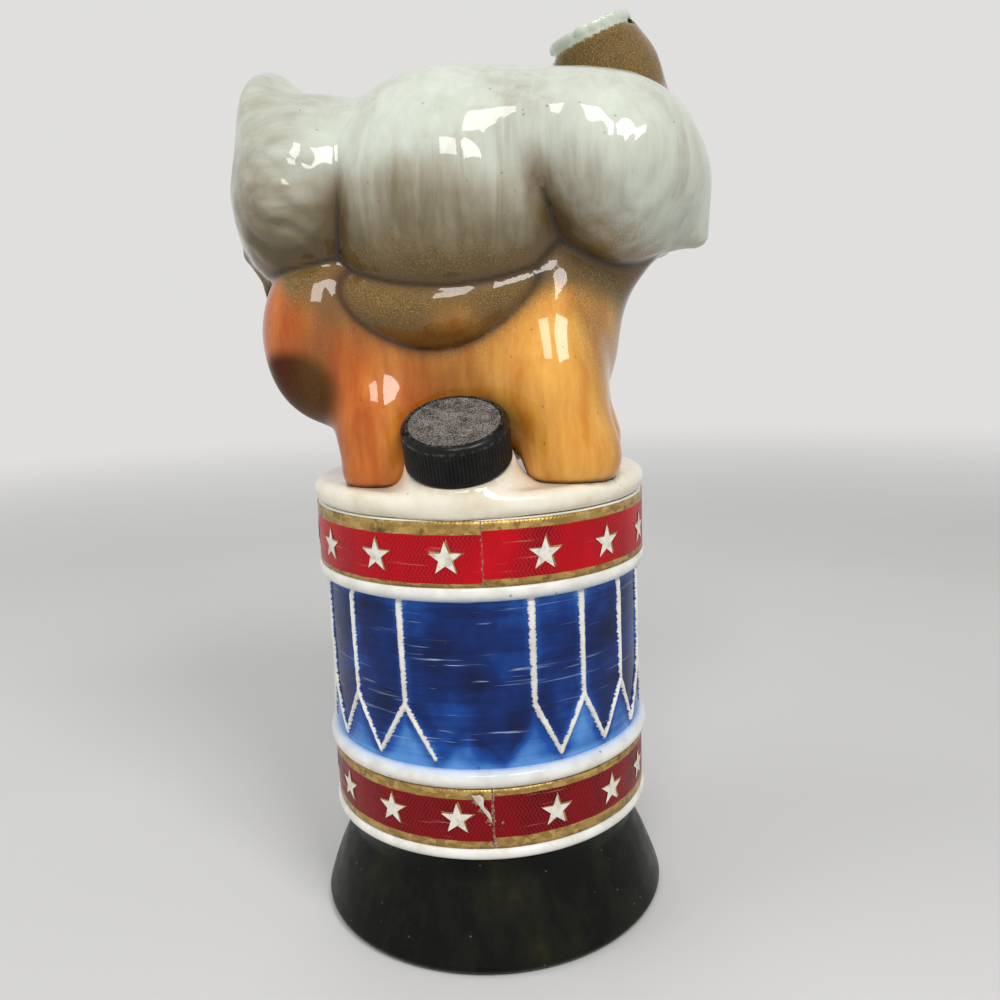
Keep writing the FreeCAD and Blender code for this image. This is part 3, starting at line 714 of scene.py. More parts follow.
def body_lobes(points):
    """The lobes of the body, by name; both sides share the legs of one."""
    sym = np.concatenate([points[..., :1], np.abs(points[..., 1:2]), points[..., 2:]], axis=-1)
    rump = egg(points, (-45.5, 0.0, 226.0), (26.0, 38.0, 31.5), spin("Y", 6))
    rump = melt(rump, egg(points, (-56.0, 0.0, 240.5), (11.0, 27.0, 24.5), spin("Y", -9)), 7.0)
    shoulder = egg(points, (44.0, -5.0, 229.0), (26.8, 35.0, 27.0))
    shoulder = melt(shoulder, taper(points, (57.0, -6.0, 224.0), (68.0, -6.0, 210.5), 13.0, 3.2), 9.0)
    shoulder = melt(shoulder, egg(points, (41.0, 6.0, 249.0), (14.0, 11.0, 10.0)), 6.0)
    haunch = egg(sym, (-43.5, 15.5, 185.0), (18.0, 20.5, 25.5))
    hind = taper(sym, (-36.0, 10.0, 200.0), (-26.0, 25.0, 160.0), 16.0, 11.5)
    hind = melt(hind, taper(sym, (-26.0, 25.0, 160.0), (-24.8, 26.5, 147.0), 11.3, 12.2), 6.0)
    fore = taper(sym, (24.0, 7.0, 203.0), (25.5, 21.0, 170.0), 17.5, 13.2)
    fore = melt(fore, taper(sym, (25.5, 21.0, 170.0), (31.2, 22.8, 148.5), 13.2, 14.4), 8.0)
    chest = taper(points, (42.0, 0.0, 214.0), (26.0, 0.0, 186.0), 17.0, 13.0)
    legs = melt(melt(hind, haunch, 9.0), melt(fore, chest, 10.0), 8.0)
    legs = melt(legs, egg(points, (-3.0, 0.0, 178.0), (46.0, 27.0, 36.0)), 14.0)
    bowed = points.copy()
    bowed[..., 2] -= 0.0065 * (points[..., 0] + 9.0) ** 2
    return {
        "barrel": egg(points, (-4.5, 0.0, 222.5), (42.0, 42.0, 40.5)),
        "rump": rump,
        "shoulder": shoulder,
        "belly": egg(bowed, (-9.0, 0.0, 192.0), (47.0, 36.5, 16.5)),
        "legs": legs,
    }


def head_lobes(points):
    """The lobes of the head, by name: the trunk has a cut, hollow end with a groove behind it."""
    local = (points - HEAD_CENTRE.astype(np.float32)) @ spin("Z", HEAD_HEADING).astype(np.float32)
    skull = egg(local, (0.0, 0.0, -1.0), (25.0, 24.0, 26.0))
    jaw = egg(local, (19.5, 2.0, -18.0), (10.0, 8.0, 6.0), spin("Y", 14))
    for side in (-1.0, 1.0):
        brow = taper(local, (13.0, side * 17.0, 8.0), (19.0, side * 9.0, 12.0), 3.4, 3.0)
        skull = melt(skull, brow, 4.0)
    ear_turn = spin("X", -10) @ spin("Z", -24)
    far_ear = egg(local, (-4.0, 30.0, 0.0), (5.5, 19.0, 26.0), ear_turn)
    far_ear = carve(far_ear, -egg(local, (1.0, 31.5, -1.0), (4.6, 14.0, 20.0), ear_turn), 2.5)
    past_tip, from_axis = about_axis(points, TRUNK_TIP, TRUNK_AIM)
    trunk = carve(limb(points, TRUNK, 5.0), past_tip, 1.5)
    mouth = np.maximum(from_axis - 8.4, -3.6 - past_tip)
    trunk = carve(trunk, -mouth, 1.5)
    groove = np.hypot(from_axis - TRUNK_TIP_RADIUS - 0.4, past_tip + 4.2) - 1.1
    trunk = carve(trunk, -groove, 0.8)
    return {"skull": skull, "far_ear": far_ear, "jaw": jaw, "trunk": trunk}


def eye_spots():
    """Centres of the two eyes, on the sides of the head ahead of the ears."""
    turn = spin("Z", HEAD_HEADING)
    return [turn @ np.array((16.8, side * 13.9, 4.6)) + HEAD_CENTRE for side in (-1.0, 1.0)]


def eye_looks():
    """The middle of each painted eye, on the bulge's outer face."""
    heading = math.radians(HEAD_HEADING)
    facing = np.array((math.cos(heading), math.sin(heading), 0.15))
    looks = []
    for spot in eye_spots():
        out = spot - HEAD_CENTRE
        look = out / np.linalg.norm(out) + 0.55 * facing
        looks.append(spot + EYE_RADIUS * look / np.linalg.norm(look))
    return looks


def ear_groove(points):
    """The hollow between the near ear's rim and the cheek."""
    return egg(points, (71.5, 4.5, 229.0), (8.0, 6.5, 22.0), spin("X", -8))


def elephant_field(points):
    barrel, rump, shoulder, belly, legs = body_lobes(points).values()
    skull, far_ear, jaw, trunk = head_lobes(points).values()
    loose = np.clip((points[..., 2] - 218.0) / 26.0, 0.0, 1.0)
    upper = melt(barrel, rump, 2.0 + 5.0 * loose)
    upper = melt(upper, shoulder, 2.0 + 30.0 * loose)
    figure = melt(upper, melt(belly, legs, 2.5), 2.2)
    face = melt(melt(skull, trunk, 4.0), jaw, 2.0)
    for spot in eye_spots():
        face = melt(face, np.linalg.norm(points - spot.astype(np.float32), axis=-1) - EYE_RADIUS, 1.4)
    face = melt(face, far_ear, 2.0)
    figure = carve(figure, -ear_groove(points), 2.5)
    figure = melt(figure, face, 2.5)
    figure = melt(figure, limb(points, TAIL, 2.0), 1.5)
    return np.maximum(figure, HEAD_TOP - points[..., 2])


def along_path(points):
    """How far along the trunk each point lies, from the face to the tip."""
    path = [np.array(spot) for spot, _ in TRUNK]
    best = np.full(len(points), 1e9)
    run = np.zeros(len(points))
    passed = 0.0
    for start, end in zip(path, path[1:]):
        step = end - start
        length = np.linalg.norm(step)
        t = np.clip((points - start) @ step / length ** 2, 0.0, 1.0)
        gap = np.linalg.norm(points - start - t[:, None] * step, axis=1)
        run = np.where(gap < best, passed + t * length, run)
        best = np.minimum(best, gap)
        passed += length
    return run


def trunk_rings(points, trunk):
    """Wrinkles round the lower part of the trunk, from 0 to 1."""
    run = along_path(points)
    wave = 0.5 + 0.5 * np.cos(run * 2.0 * math.pi / 5.2)
    return wave ** 6 * ramp(trunk, 2.0, 0.8) * ramp(points[:, 2], 257.0, 249.0) * ramp(run, 16.0, 20.0)


def elephant_marks(points):
    """Glaze values at the figure's points: where each colour lies, where the creases run and where shade is
    painted.
    """
    barrel, rump, shoulder, belly, legs = body_lobes(points).values()
    skull, far_ear, jaw, trunk = head_lobes(points).values()
    x, y, z = points.T
    loose = ramp(z, 239.0, 216.0)
    upper = np.minimum(np.minimum(barrel, rump), shoulder)
    lower = np.minimum(belly, legs)
    face = np.minimum(skull, trunk)
    under = (upper > 1.0) * ramp(z, 222.0, 212.0)
    # Painted shade in the creases: where the lobes meet, round the far ear and the jaw, at the trunk's root, in
    # the near ear's hollow and the trunk's wrinkles, and a painted shadow line where the figure sits on the
    # drum.
    painted_crease_shade = np.maximum.reduce([
        bulge(barrel, rump, 1.5) * loose * (np.minimum(barrel, rump) < 2.0),
        bulge(barrel, shoulder, 1.4) * loose * (np.minimum(barrel, shoulder) < 2.0),
        bulge(upper, lower, 1.3),
        0.85 * bulge(belly, legs, 1.1) * under,
        0.8 * bulge(np.minimum(upper, face), far_ear, 0.9) * (far_ear < 1.5),
        0.8 * bulge(face, jaw, 0.9) * (jaw < 1.5),
        0.7 * bulge(skull, trunk, 0.9) * (face < 1.5) * (face < upper - 1.0),
        0.6 * ramp(ear_groove(points), 1.2, -0.4) * (upper < 3.0),
        0.45 * trunk_rings(points, trunk),
        0.8 * ramp(z, HEAD_TOP + 1.6, HEAD_TOP + 0.3),
    ])
    # Painted shade: a broad brown halo beside the creases, where shade falls.
    painted_crease_halo = np.maximum.reduce([
        loose * bulge(barrel, rump, 4.5),
        loose * bulge(barrel, shoulder, 4.0),
        bulge(upper, lower, 4.0),
        0.8 * bulge(belly, legs, 3.2) * under,
    ])
    drift = grain(points, (16.0, 16.0, 16.0), 5)
    below = upper - lower
    rise = z + 22.0 * drift + 0.15 * (x + 10.0)
    orange = ramp(rise, 213.0, 193.0) * ramp(below, -3.0, 3.0)
    on_belly = ramp(belly - legs, 1.0, -1.5)
    middle = bulge(x, -13.0, 21.0)
    flank = ramp(rise, 185.0 - 26.0 * middle, 206.0 - 20.0 * middle)
    flank = flank * ramp(x, -60.0, -44.0) * (1.0 - 0.62 * middle)
    umber = np.maximum(flank, on_belly * ramp(rise, 172.0, 192.0)) * ramp(rise, 232.0, 206.0)
    foot_of_barrel = ramp(z + 12.0 * drift, 217.0, 201.0) * ramp(below, 1.0, -4.0)
    umber = np.maximum(0.92 * umber * ramp(below, -6.0, 2.0), 0.55 * foot_of_barrel)
    past_tip, _ = about_axis(points, TRUNK_TIP, TRUNK_AIM)
    on_trunk = ramp(trunk, 2.6, 0.8) * ramp(z + 6.0 * drift, 251.0, 261.0)
    umber = np.maximum(umber, on_trunk * ramp(past_tip, -3.6, -4.6))
    inside_tip = ramp(past_tip, -0.6, -1.4) * (np.linalg.norm(points - TRUNK_TIP, axis=1) < 9.6)
    # Painted shadow under the haunch, and painted shade between the legs and inside the trunk's hollow end.
    under_haunch = ((x + 49.0) / 16.0) ** 2 + ((z - 168.0) / 13.5) ** 2
    between = bulge(x, -4.0, 20.0) * ramp(z, 182.0, 172.0) * ramp(np.abs(y), 34.0, 24.0)
    painted_underside_shadow = np.maximum.reduce([
        0.95 * ramp(under_haunch + 0.6 * drift, 1.35, 0.45), 0.40 * between, 0.9 * inside_tip
    ])
    # Painted shade: darker towards the bottom of each lobe but little on the right where the light falls,
    # darker on the rump, and darker beside the creases and above the belly.
    painted_shade = 0.95 * ramp(z + 20.0 * drift, 248.0, 203.0) * (1.0 - 0.90 * ramp(x, 18.0, 60.0))
    painted_shade = painted_shade + 0.22 * ramp(x, -30.0, -46.0)
    painted_shade = painted_shade + 0.55 * loose * np.maximum(bulge(barrel, rump, 7.0), bulge(barrel, shoulder, 7.0))
    painted_shade = painted_shade + 0.55 * bulge(upper, lower, 6.0)
    return {
        "orange": orange, "umber": umber, "painted_underside_shadow": painted_underside_shadow, "painted_crease_shade": np.clip(painted_crease_shade, 0.0, 1.0),
        "painted_crease_halo": np.clip(painted_crease_halo, 0.0, 1.0), "painted_shade": np.clip(painted_shade, 0.0, 1.35),
    }


def elephant():
    """The hollow figure's outside, with brushed flutes, folds, gathers and wrinkles raised on it."""
    step = 0.95
    points, faces = skin(elephant_field, (-77.0, -49.0, HEAD_TOP - 1.2 * step), (79.0, 59.0, 288.0), step)
    _, slope = field_slope(elephant_field, points)
    x, y, z = points.T
    up = ramp(z, 196.0, 210.0)
    low = ramp(z, 246.0, 212.0)
    on_rump = ramp(x, -34.0, -44.0)
    flutes = grain(points, (4.5, 4.5, 30.0), 11)
    folds = grain(points, (9.0, 9.0, 11.0), 12)
    slant = grain(points @ spin("Y", 38).astype(np.float32), (5.0, 9.0, 24.0), 13)
    brushed = flutes * (1.0 - on_rump) + slant * on_rump
    lift = up * ((0.35 + 0.75 * low) * brushed + 0.35 * folds) + (1.0 - up) * 0.30 * folds
    gathers = np.sin((0.57 * x + 0.82 * z) * 0.95 + 5.0 * folds)
    gathers = gathers * bulge(x, -46.0, 15.0) * bulge(z, 220.0, 15.0) * on_rump
    dents = np.sin((0.80 * x - 0.60 * z) * 0.62 + 6.0 * folds)
    dents = dents * bulge(x, 47.0, 15.0) * bulge(z, 222.0, 13.0)
    lift = lift + up * (0.45 * gathers + 0.40 * dents) * ramp(np.abs(y), 8.0, 20.0)
    lift = lift * ramp(z, HEAD_TOP + 0.5, HEAD_TOP + 5.0)
    past_tip, from_axis = about_axis(points, TRUNK_TIP, TRUNK_AIM)
    side = points - TRUNK_TIP - past_tip[:, None] * TRUNK_AIM
    turn = np.arctan2(side[:, 2], side @ np.cross(TRUNK_AIM, (0.0, 0.0, 1.0)))
    puckers = np.abs(np.sin(6.5 * turn + 2.5 * np.sin(2.0 * turn)))
    at_tip = ramp(past_tip, -4.4, -2.6) * (from_axis < 15.0) * (np.abs(past_tip) < 6.0)
    lift = lift - 0.8 * (1.0 - puckers) ** 2 * at_tip
    lift = lift - 0.6 * trunk_rings(points, head_lobes(points)["trunk"])
    points = points + slope * lift[:, None]
    points[:, 2] = np.maximum(points[:, 2], HEAD_TOP)
    marks = elephant_marks(points)
    make_piece("elephant", points, faces, figure_glaze(), ["elephant_figure"], marks)


# The drum

# Turns of the rope's uprights from the spout's side, in degrees; round the back they are evenly spaced
UPRIGHTS = (-101.0, -82.0, -63.0, -42.5, -20.5, 23.4, 41.9, 61.2, 79.0, *(98.5 + 20.0 * k for k in range(8)))
WIDE_GAP = 30.0
STRAND_REACH = 10.6
FORK_HEIGHT = 80.0
VALLEY_HEIGHT = 64.2


def next_upright(index):
    """Turn of the upright that follows, counted on past a whole turn."""
    after = UPRIGHTS[(index + 1) % len(UPRIGHTS)]
    return after + 360.0 if after < UPRIGHTS[index] else after


def lacing():
    """Rope runs on the panel: start and end as (turn from the spout's side, height), and half width."""
    runs = []
    for index, turn in enumerate(UPRIGHTS):
        fork = (turn + 0.3, FORK_HEIGHT)
        after = next_upright(index)
        gap_before = next_upright(index - 1) - UPRIGHTS[index - 1]
        runs.append(((turn, PANEL_TOP - 0.5), fork, 1.15))
        if after - turn > WIDE_GAP:
            runs.append((fork, (turn + STRAND_REACH, VALLEY_HEIGHT + 0.6), 0.95))
        else:
            runs.append((fork, ((turn + after) / 2.0, VALLEY_HEIGHT), 0.95))
        if gap_before <= WIDE_GAP:
            runs.append((fork, (turn - gap_before / 2.0, VALLEY_HEIGHT), 1.0))
    return runs


def rope_gap(turn, height):
    """Distance from each point of the panel to the nearest rope's edge."""
    arc_mm = DRUM_RADIUS * math.pi / 180.0
    gap = np.full(turn.shape, 9.0)
    for start, end, half in lacing():
        for lap in (-360.0, 0.0, 360.0):
            foot = np.array(((start[0] + lap) * arc_mm, start[1]))
            run = np.array(((end[0] + lap) * arc_mm, end[1])) - foot
            u, v = turn * arc_mm - foot[0], height - foot[1]
            t = np.clip((u * run[0] + v * run[1]) / (run @ run), 0.0, 1.0)
            narrow = half * (1.0 - 0.25 * t)
            gap = np.minimum(gap, np.hypot(u - t * run[0], v - t * run[1]) - narrow)
    return gap


def zigzag_height(turn):
    """Height of the rope zigzag round the drum."""
    spots = []
    for index, upright in enumerate(UPRIGHTS):
        after = next_upright(index)
        middle = (upright + after) / 2.0
        spots.append((upright, FORK_HEIGHT))
        if after - upright > WIDE_GAP:
            spots.append((upright + STRAND_REACH, VALLEY_HEIGHT))
            spots.append((middle, FORK_HEIGHT - 5.0))
            spots.append((after - STRAND_REACH, VALLEY_HEIGHT))
        else:
            spots.append((middle, VALLEY_HEIGHT))
    spots = sorted((a + lap, h) for a, h in spots for lap in (-360.0, 0.0, 360.0))
    return np.interp(turn, [a for a, _ in spots], [h for _, h in spots])


def drum():
    segments, rows = ((1200, 150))
    hoop = DRUM_RADIUS + 2.45
    lower_seat, upper_seat = DRUM_RADIUS + 0.6, DRUM_RADIUS + 1.5
    outline = line((DRUM_BORE, BASE_TOP), (DRUM_RADIUS, BASE_TOP), 2)[:-1]
    outline += arc((DRUM_RADIUS, BASE_TOP), (DRUM_RADIUS + 1.8, 35.6), (lower_seat, LOWER_SEAT_FOOT), 10)
    outline += line((lower_seat, LOWER_SEAT_FOOT), (lower_seat, LOWER_SEAT_TOP), 6)[1:-1]
    outline += arc((lower_seat, LOWER_SEAT_TOP), (hoop, 58.9), (DRUM_RADIUS, PANEL_FOOT), 14)
    outline += line((DRUM_RADIUS, PANEL_FOOT), (DRUM_RADIUS, PANEL_TOP), rows)[1:-1]
    outline += arc((DRUM_RADIUS, PANEL_TOP), (hoop, 113.85), (upper_seat, UPPER_SEAT_FOOT), 14)
    outline += line((upper_seat, UPPER_SEAT_FOOT), (upper_seat, RIM_FOOT), 6)[1:]
    outline += line((DRUM_BORE, RIM_FOOT), (DRUM_BORE, BASE_TOP), 3)[:-1]
    points, _ = turned(outline, segments)
    faces = ring_quads(len(outline), segments, closed_rows=True)
    turn = np.degrees(np.arctan2(points[:, 0], -points[:, 1]))
    height = points[:, 2]
    radius = np.hypot(points[:, 0], points[:, 1])
    outside = radius > DRUM_RADIUS - 0.5
    gap = rope_gap(turn, height)
    zigzag = zigzag_height(turn)
    panel = np.minimum(height - PANEL_FOOT, PANEL_TOP - height)
    rope = 0.95 * ramp(gap + 0.35 * grain(points, (1.6, 1.6, 1.0), 21), 0.55, -1.0)
    wave = 0.30 * grain(points, (22.0, 22.0, 14.0), 22) + 0.10 * grain(points, (5.0, 5.0, 3.0), 23)
    spout_panel = np.clip(1.0 - np.abs(turn - 1.5) / 21.0, 0.0, 1.0)
    ghost = 0.30 * bulge(height, zigzag, 1.8) * ramp(spout_panel, 0.0, 0.3)
    lift = (rope + wave + ghost) * ramp(panel, 0.0, 1.6) * outside
    hoops = (height > LOWER_SEAT_TOP) & (height < UPPER_SEAT_FOOT) & (panel < 0.0) & outside
    lift = lift + 0.10 * grain(points, (12.0, 12.0, 6.0), 24) * hoops
    shallow = ramp(zigzag - height, -1.0, 9.0) + 0.35 * bulge(gap, 0.0, 1.2) + 0.5 * ramp(panel, 3.0, 0.3)
    points[:, :2] += points[:, :2] / radius[:, None] * lift[:, None]
    marks = {
        "rope_gap": gap,
        "panel": np.where(outside, panel, -5.0),
        "shallow": shallow,
        "bare": ramp(spout_panel, 0.05, 0.35) + 0.35,
    }
    make_piece("drum_shell", points, faces, drum_glaze(), ["drum_barrel"], marks)


def drum_top_field(points):
    """The rolled disc with the slanted spout boss melted into it, bored for the sleeve."""
    z = points[..., 2]
    radial = np.hypot(points[..., 0], points[..., 1])
    edge = 3.3
    a = radial - (52.3 - edge)
    b = np.abs(z - (RIM_FOOT + HEAD_TOP) / 2.0) - ((HEAD_TOP - RIM_FOOT) / 2.0 - edge)
    disc = np.minimum(np.maximum(a, b), 0.0) + np.hypot(np.maximum(a, 0.0), np.maximum(b, 0.0)) - edge
    along, from_axis = about_axis(points, SPOUT_FOOT, SPOUT_AXIS)
    cone = (from_axis - 15.6 - 0.30 * np.maximum(-0.6 - along, 0.0)) * 0.95
    boss = carve(np.maximum(cone, -11.0 - along), along + 0.6, 1.2)
    top = np.maximum(melt(disc, boss, 5.0), 12.15 - from_axis)
    inside_rim = np.where(z > 145.0, radial - 51.6, -9.0)
    return np.maximum(np.maximum(top, RIM_FOOT - z), inside_rim)


def drum_top():
    step = 0.75
    points, faces = skin(drum_top_field, (-54.0, -56.0, RIM_FOOT - 1.2 * step), (54.0, 54.0, 159.0), step)
    _, slope = field_slope(drum_top_field, points)
    points = points + slope * (0.16 * grain(points, (14.0, 14.0, 8.0), 31))[:, None]
    along, from_axis = about_axis(points, SPOUT_FOOT, SPOUT_AXIS)
    # Where the rim's glaze turns brown: round the feet, at the foot of the spout boss and along the rim's lower
    # edge.
    corner = np.maximum.reduce([
        ramp(body_lobes(points)["legs"], 1.6, 0.2),
        0.5 * ramp(along, -2.2, -0.9) * ramp(from_axis, 17.5, 15.6),
        0.6 * ramp(points[:, 2], RIM_FOOT + 0.9, RIM_FOOT + 0.2),
    ])
    make_piece("drum_top", points, faces, rim_glaze(), ["drum_head"], {"corner": corner})


def base():
    outline = [(0.0, 2.0), (20.0, 2.0), (44.0, 2.0), (45.2, 0.4), (46.0, 0.0)]
    outline += [(53.2, 0.0)] + arc((54.0, 0.0), (55.9, 0.75), (56.5, 2.4), 6)
    outline += arc((56.5, 2.4), (52.7, 13.2), (46.6, 25.0), 30)[1:]
    outline += [(46.45, 26.5), (46.5, 28.0), (46.5, 30.6), (47.2, 31.8), (48.3, 33.4), (48.4, 33.75)]
    outline += [(46.0, BASE_TOP), (0.0, BASE_TOP)]
    points, faces = turned(outline, 480)
    radius = np.hypot(points[:, 0], points[:, 1])
    ripple = 0.35 * (grain(points, (24.0, 24.0, 9.0), 41) - 0.25) + 0.12 * grain(points, (6.0, 6.0, 4.0), 42)
    side = ramp(points[:, 2], 3.0, 6.0) * ramp(points[:, 2], 31.0, 28.0) * (radius > 40.0)
    points[:, :2] += points[:, :2] / np.maximum(radius, 1e-6)[:, None] * (ripple * side)[:, None]
    make_piece("base", points, faces, base_glaze(), ["base_foot"], weld=True)


# The foil bands

# Where the stars lie, in degrees from the spout's side; round the back they are evenly spaced
UPPER_STARS = (-51.3, -27.1, -3.1, 27.8, 51.9, *(76.2 + 23.6 * k for k in range(9)), 285.6)
LOWER_STARS = (-51.9, -27.4, -3.4, 29.8, 53.8, *(75.3 + 24.1 * k for k in range(9)), 285.8)
# Bare patches beside the lower band's seam: turn, height and spread
LOWER_TEAR = ((3.2, 52.6, 1.3), (5.4, 49.6, 1.5), (7.6, 46.6, 1.5), (8.6, 39.0, 1.4), (11.5, 45.6, 0.5))


def on_drum(turn, height, radius):
    angle = np.radians(turn)
    return np.stack([radius * np.sin(angle), -radius * np.cos(angle), height], axis=-1)


def band(name, finish, node, radius, low, high, seam_turn, seed, bare, torn=()):
    """A foil strip wrapped once round its seat, a little loose at its seam and edges."""
    steps = 900
    gap = 0.06
    heights = np.linspace(low, high, 15)
    depth = np.repeat((0.0, -0.32), len(heights))[:, None]
    turn = np.linspace(seam_turn + gap, seam_turn + 360.0 - gap, steps)
    turn, height = np.meshgrid(turn, np.concatenate([heights, heights[::-1]]))
    from_seam = np.minimum(turn - seam_turn, seam_turn + 360.0 - turn)
    spots = on_drum(turn, height, radius)
    crumple = 0.16 * grain(spots, (7.0, 7.0, 4.0), seed) + 0.10 * grain(spots, (2.2, 2.2, 1.6), seed + 1)
    crumple = crumple * (0.35 + 1.3 * np.exp(-from_seam / 3.0))
    reach = radius - 0.12 + np.clip(crumple, -0.1, 0.12) + depth
    points = on_drum(turn, height, reach).reshape(-1, 3)
    faces = [tuple(q) for q in ring_quads(*turn.shape, closed_rows=True, closed_columns=False)]
    faces += [tuple(range(0, turn.size, steps))[::-1], tuple(range(steps - 1, turn.size, steps))]
    arc_mm = math.pi / 180.0 * radius
    seam = bare * bulge(from_seam, 0.0, 0.7)
    for spot_turn, spot_height, spread in torn:
        wide = (turn - 360.0 * (turn > 180.0) - spot_turn) * arc_mm
        seam = np.maximum(seam, bulge(wide, 0.0, spread) * bulge(height, spot_height, spread))
    marks = {"around": ((turn - seam_turn) * arc_mm).reshape(-1), "seam": seam.reshape(-1)}
    make_piece(name, points, faces, finish, [node], marks)


def torn_flap(finish):
    """A sliver of the lower band's paper that has torn at the seam and curled outwards."""
    along, across = 26, 11
    t, u = np.meshgrid(np.linspace(0.0, 1.0, along), np.linspace(0.0, 1.0, across), indexing="ij")
    wide = 4.2 * (1.0 - t) ** 0.75 * (0.80 + 0.20 * np.sin(11.0 * t)) + 0.15
    turn = 1.6 + 6.4 * t + np.degrees(wide * u / 51.0) * (1.0 - 0.30 * u)
    height = 54.4 - 8.6 * t + 0.30 * wide * u
    curl = 1.9 * np.sin(0.5 * math.pi * u) * (0.25 + 0.75 * (1.0 - t)) * np.minimum(1.0, 8.0 * u)
    points = on_drum(turn, height, 51.14 + curl).reshape(-1, 3)
    shell = np.concatenate([points, points * np.array((0.9975, 0.9975, 1.0))])
    sheet = [tuple(q) for q in ring_quads(along, across, closed_columns=False)]
    faces = sheet + [tuple(k + t.size for k in q[::-1]) for q in sheet]
    number = np.arange(t.size).reshape(t.shape)
    rim = [*number[0], *number[1:, -1], *number[-1, -2::-1], *number[-2:0:-1, 0]]
    faces += [(a, b, b + t.size, a + t.size) for a, b in zip(rim, rim[1:] + rim[:1])]
    make_piece("torn_flap", shell, faces, finish, weld=True)


def star(turn, height, radius, reach, lean):
    """A five-pointed star laid on the drum's round, as points and faces."""
    angle = math.pi / 2.0 + lean + np.arange(10) * math.pi / 5.0
    spoke = np.where(np.arange(10) % 2 == 0, reach, reach * 0.40)
    corners = np.stack([spoke * np.cos(angle), spoke * np.sin(angle)], axis=-1)
    shares = np.arange(4)[:, None] / 4.0
    edge = np.concatenate([a + (b - a) * shares for a, b in zip(corners, np.roll(corners, -1, axis=0))])
    flat = np.concatenate([edge * share for share in (1.0, 0.8, 0.55, 0.28)] + [np.zeros((1, 2))])
    at = turn + np.degrees(flat[:, 0] / radius)
    points = on_drum(at, height + flat[:, 1], np.full(len(flat), radius))
    count = len(edge)
    faces = [tuple(q) for q in ring_quads(4, count)]
    faces += [(3 * count + k, 3 * count + (k + 1) % count, 4 * count) for k in range(count)]
    return points, faces


def star_row(name, finish, turns, height, radius, reach, shift):
    points, faces, count = [], [], 0
    rng = np.random.default_rng(len(name))
    for turn in turns:
        spots, sides = star(turn + shift[0], height + shift[1], radius, reach, rng.uniform(-0.05, 0.05))
        points.append(spots)
        faces += [tuple(i + count for i in side) for side in sides]
        count += len(spots)
    make_piece(name, np.concatenate(points), faces, finish)


def star_bands():
    white, gold = star_print(), star_gold()
    upper_foil = band_foil("upper_band_foil", 117.7, 131.5, 0.04, (122, 2, 12), (170, 5, 20))
    lower_foil = band_foil("lower_band_foil", 40.4, 53.4, 0.0, (84, 0, 6), (122, 3, 12))
    band("upper_band", upper_foil, "upper_star_band", UPPER_BAND_RADIUS, 116.1, 134.7, 8.2, 51, 0.5)
    band("lower_band", lower_foil, "lower_star_band", LOWER_BAND_RADIUS, 37.6, 56.0, 8.5, 61, 0.7, LOWER_TEAR)
    torn_flap(star_print())
    for row, turns, height, radius in (
        ("upper", UPPER_STARS, 124.3, UPPER_BAND_RADIUS), ("lower", LOWER_STARS, 46.8, LOWER_BAND_RADIUS)
    ):
        star_row(row + "_star_edges", gold, turns, height, radius + 0.02, 5.5, (0.35, 0.25))
        star_row(row + "_stars", white, turns, height, radius + 0.07, 4.95, (0.0, 0.0))


# The cap and what is under it

def on_spout(points):
    """Points made about Z, stood on the spout's axis from the cap's lower edge."""
    return points @ spin("X", math.degrees(SPOUT_TILT)).T + SPOUT_FOOT


def cap():
    ribs, per_rib = 90, 8
    outline = [(14.1, 10.95), (14.1, 5.0), (14.1, 0.25), (14.3, 0.0), (15.0, 0.0), (15.25, 0.2)]
    outline += [(15.25, 0.8), (15.0, 1.0), (14.95, 1.2)] + line((14.95, 1.4), (14.95, 10.1), 5)
    outline += [(15.0, 10.3), (15.2, 10.45), (15.25, 10.6)]
    outline += arc((15.2, 10.7), (14.65, 11.75), (13.55, 12.4), 6)
    outline += [(13.3, 12.45), (13.0, 12.4), (12.85, 12.2), (12.8, 11.95)]
    outline += line((12.6, 11.9), (0.0, 11.9), 12) + [(0.0, 10.95), (7.0, 10.95), (14.1, 10.95)]
    points, faces = turned(outline, ribs * per_rib)
    angle = np.arctan2(points[:, 1], points[:, 0])
    z = points[:, 2]
    radius = np.hypot(points[:, 0], points[:, 1])
    on_skirt = (radius > 14.7) * ramp(z, 1.0, 1.3) * ramp(z, 10.35, 10.1)
    crest = 0.44 * np.abs(np.cos(0.5 * ribs * angle)) ** 0.7 - 0.20
    points[:, :2] *= (1.0 + on_skirt * crest / np.maximum(radius, 1.0))[:, None]
    marks = {
        "disc": (radius < 12.85) * (z > 11.5) * 1.0,
        "edge": np.maximum(bulge(z, 10.6, 0.35) * (radius > 14.9), bulge(radius, 13.3, 0.4) * (z > 12.0)),
    }
    make_piece(
        "screw_cap", on_spout(points), faces, cap_plastic(), ["cap_shell"], marks, True, "cap"
    )


def dress_node(node, finish):
    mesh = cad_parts[node].data
    mesh.materials.clear()
    mesh.materials.append(finish)


# Stage, light and camera

def stage():
    """A round pale floor that fades into the background."""
    finish = Finish("pale_floor")
    place = finish.place()
    cloud = finish.noise(place, 3.0, 2.0, 0.5)
    fade = finish.span(finish.far(place, (0.0, 0.0, 0.0)), 0.45, 1.5, 1.0, 0.0)
    pale = finish.ladder(cloud, (0.3, (206, 205, 202)), (0.7, (212, 211, 208)))
    finish.gloss(Base_Color=pale, Roughness=0.8, Alpha=fade)
    mesh = welded(new_mesh("floor", *turned([(r, -0.4) for r in (0.0, 150.0, 500.0, 1000.0, 1600.0)], 96)))
    mesh.materials.append(finish.material)
    floor = new_object("floor", mesh)


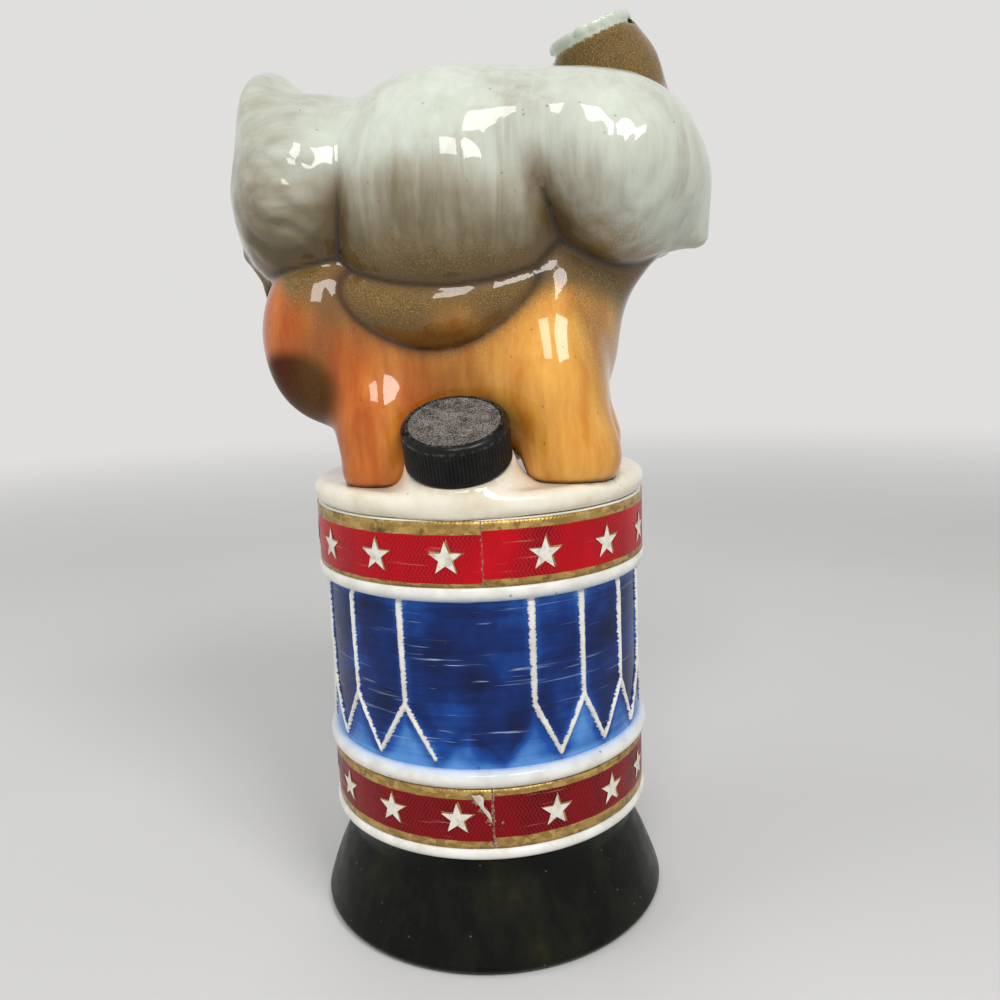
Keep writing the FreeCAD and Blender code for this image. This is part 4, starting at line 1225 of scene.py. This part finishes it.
def soft_lamp(name, place, size, power, colour=(1.0, 1.0, 1.0), mirrored=True):
    lamp = bpy.data.lights.new(name, "AREA")
    lamp.shape = "RECTANGLE"
    lamp.size, lamp.size_y = size
    lamp.energy = power
    lamp.color = colour
    lit = new_object(name, lamp)
    lit.location = place
    lit.visible_glossy = mirrored
    figure_middle = Vector((0.0, 0.0, 0.16))
    lit.rotation_euler = (figure_middle - Vector(place)).to_track_quat("-Z", "Y").to_euler()


def light():
    """A soft room and four lamps; the eye, gloss and glass see the pale backdrop instead of the room."""
    world = bpy.data.worlds.new("studio")
    world.use_nodes = True
    nodes = world.node_tree.nodes
    link = world.node_tree.links.new
    ray = nodes.new("ShaderNodeLightPath").outputs
    room = nodes["Background"]
    room.inputs["Color"].default_value = (0.93, 0.95, 1.0, 1.0)
    room.inputs["Strength"].default_value = 0.42
    backdrop = nodes.new("ShaderNodeBackground")
    backdrop.inputs["Color"].default_value = tint((224, 223, 221))
    shown = room
    for kind in ("Is Glossy Ray", "Is Transmission Ray", "Is Camera Ray"):
        choice = nodes.new("ShaderNodeMixShader")
        link(ray[kind], choice.inputs["Fac"])
        link(shown.outputs[0], choice.inputs[1])
        link(backdrop.outputs[0], choice.inputs[2])
        shown = choice
    link(shown.outputs[0], nodes["World Output"].inputs["Surface"])
    bpy.context.scene.world = world
    soft_lamp("window", (0.46, -0.58, 0.86), (0.36, 0.34), 5.2)
    soft_lamp("second_window", (0.02, -0.75, 0.95), (0.28, 0.34), 3.4, (1.0, 0.98, 0.95))
    soft_lamp("side_fill", (-0.95, -0.35, 0.55), (0.7, 0.9), 3.6, (0.96, 0.98, 1.0), False)
    soft_lamp("back_fill", (-0.2, 0.95, 0.85), (0.8, 0.6), 2.2, (1.0, 1.0, 1.0), False)


def camera():
    """The photograph's view: where it stands, and how it is panned, tilted and rolled."""
    lens = bpy.data.cameras.new("photo_view")
    lens.sensor_width = 36.0
    lens.lens = 955.0 / 1000.0 * 36.0
    lens.clip_start = 0.01
    pan, tilt, roll = math.radians(1.19), math.radians(10.40), math.radians(2.10)
    ahead = Vector((math.sin(pan) * math.cos(tilt), math.cos(pan) * math.cos(tilt), -math.sin(tilt)))
    right = Vector((math.cos(pan), -math.sin(pan), 0.0))
    down = ahead.cross(right)
    rolled_right = math.cos(roll) * right + math.sin(roll) * down
    rolled_down = -math.sin(roll) * right + math.cos(roll) * down
    turn = Matrix.Rotation(math.radians(8.4), 3, "Z")
    axes = Matrix((turn @ rolled_right, turn @ -rolled_down, turn @ -ahead)).transposed()
    view = new_object("photo_view", lens)
    view.matrix_world = Matrix.Translation((0.0446, -0.3018, 0.1868)) @ axes.to_4x4()
    bpy.context.scene.camera = view


bpy.context.scene.view_settings.view_transform = "Standard"
stage()
light()
camera()
base()
drum()
drum_top()
star_bands()
elephant()
cap()
dress_node("neck_sleeve", sleeve_plastic())
dress_node("cap_liner", liner_board())
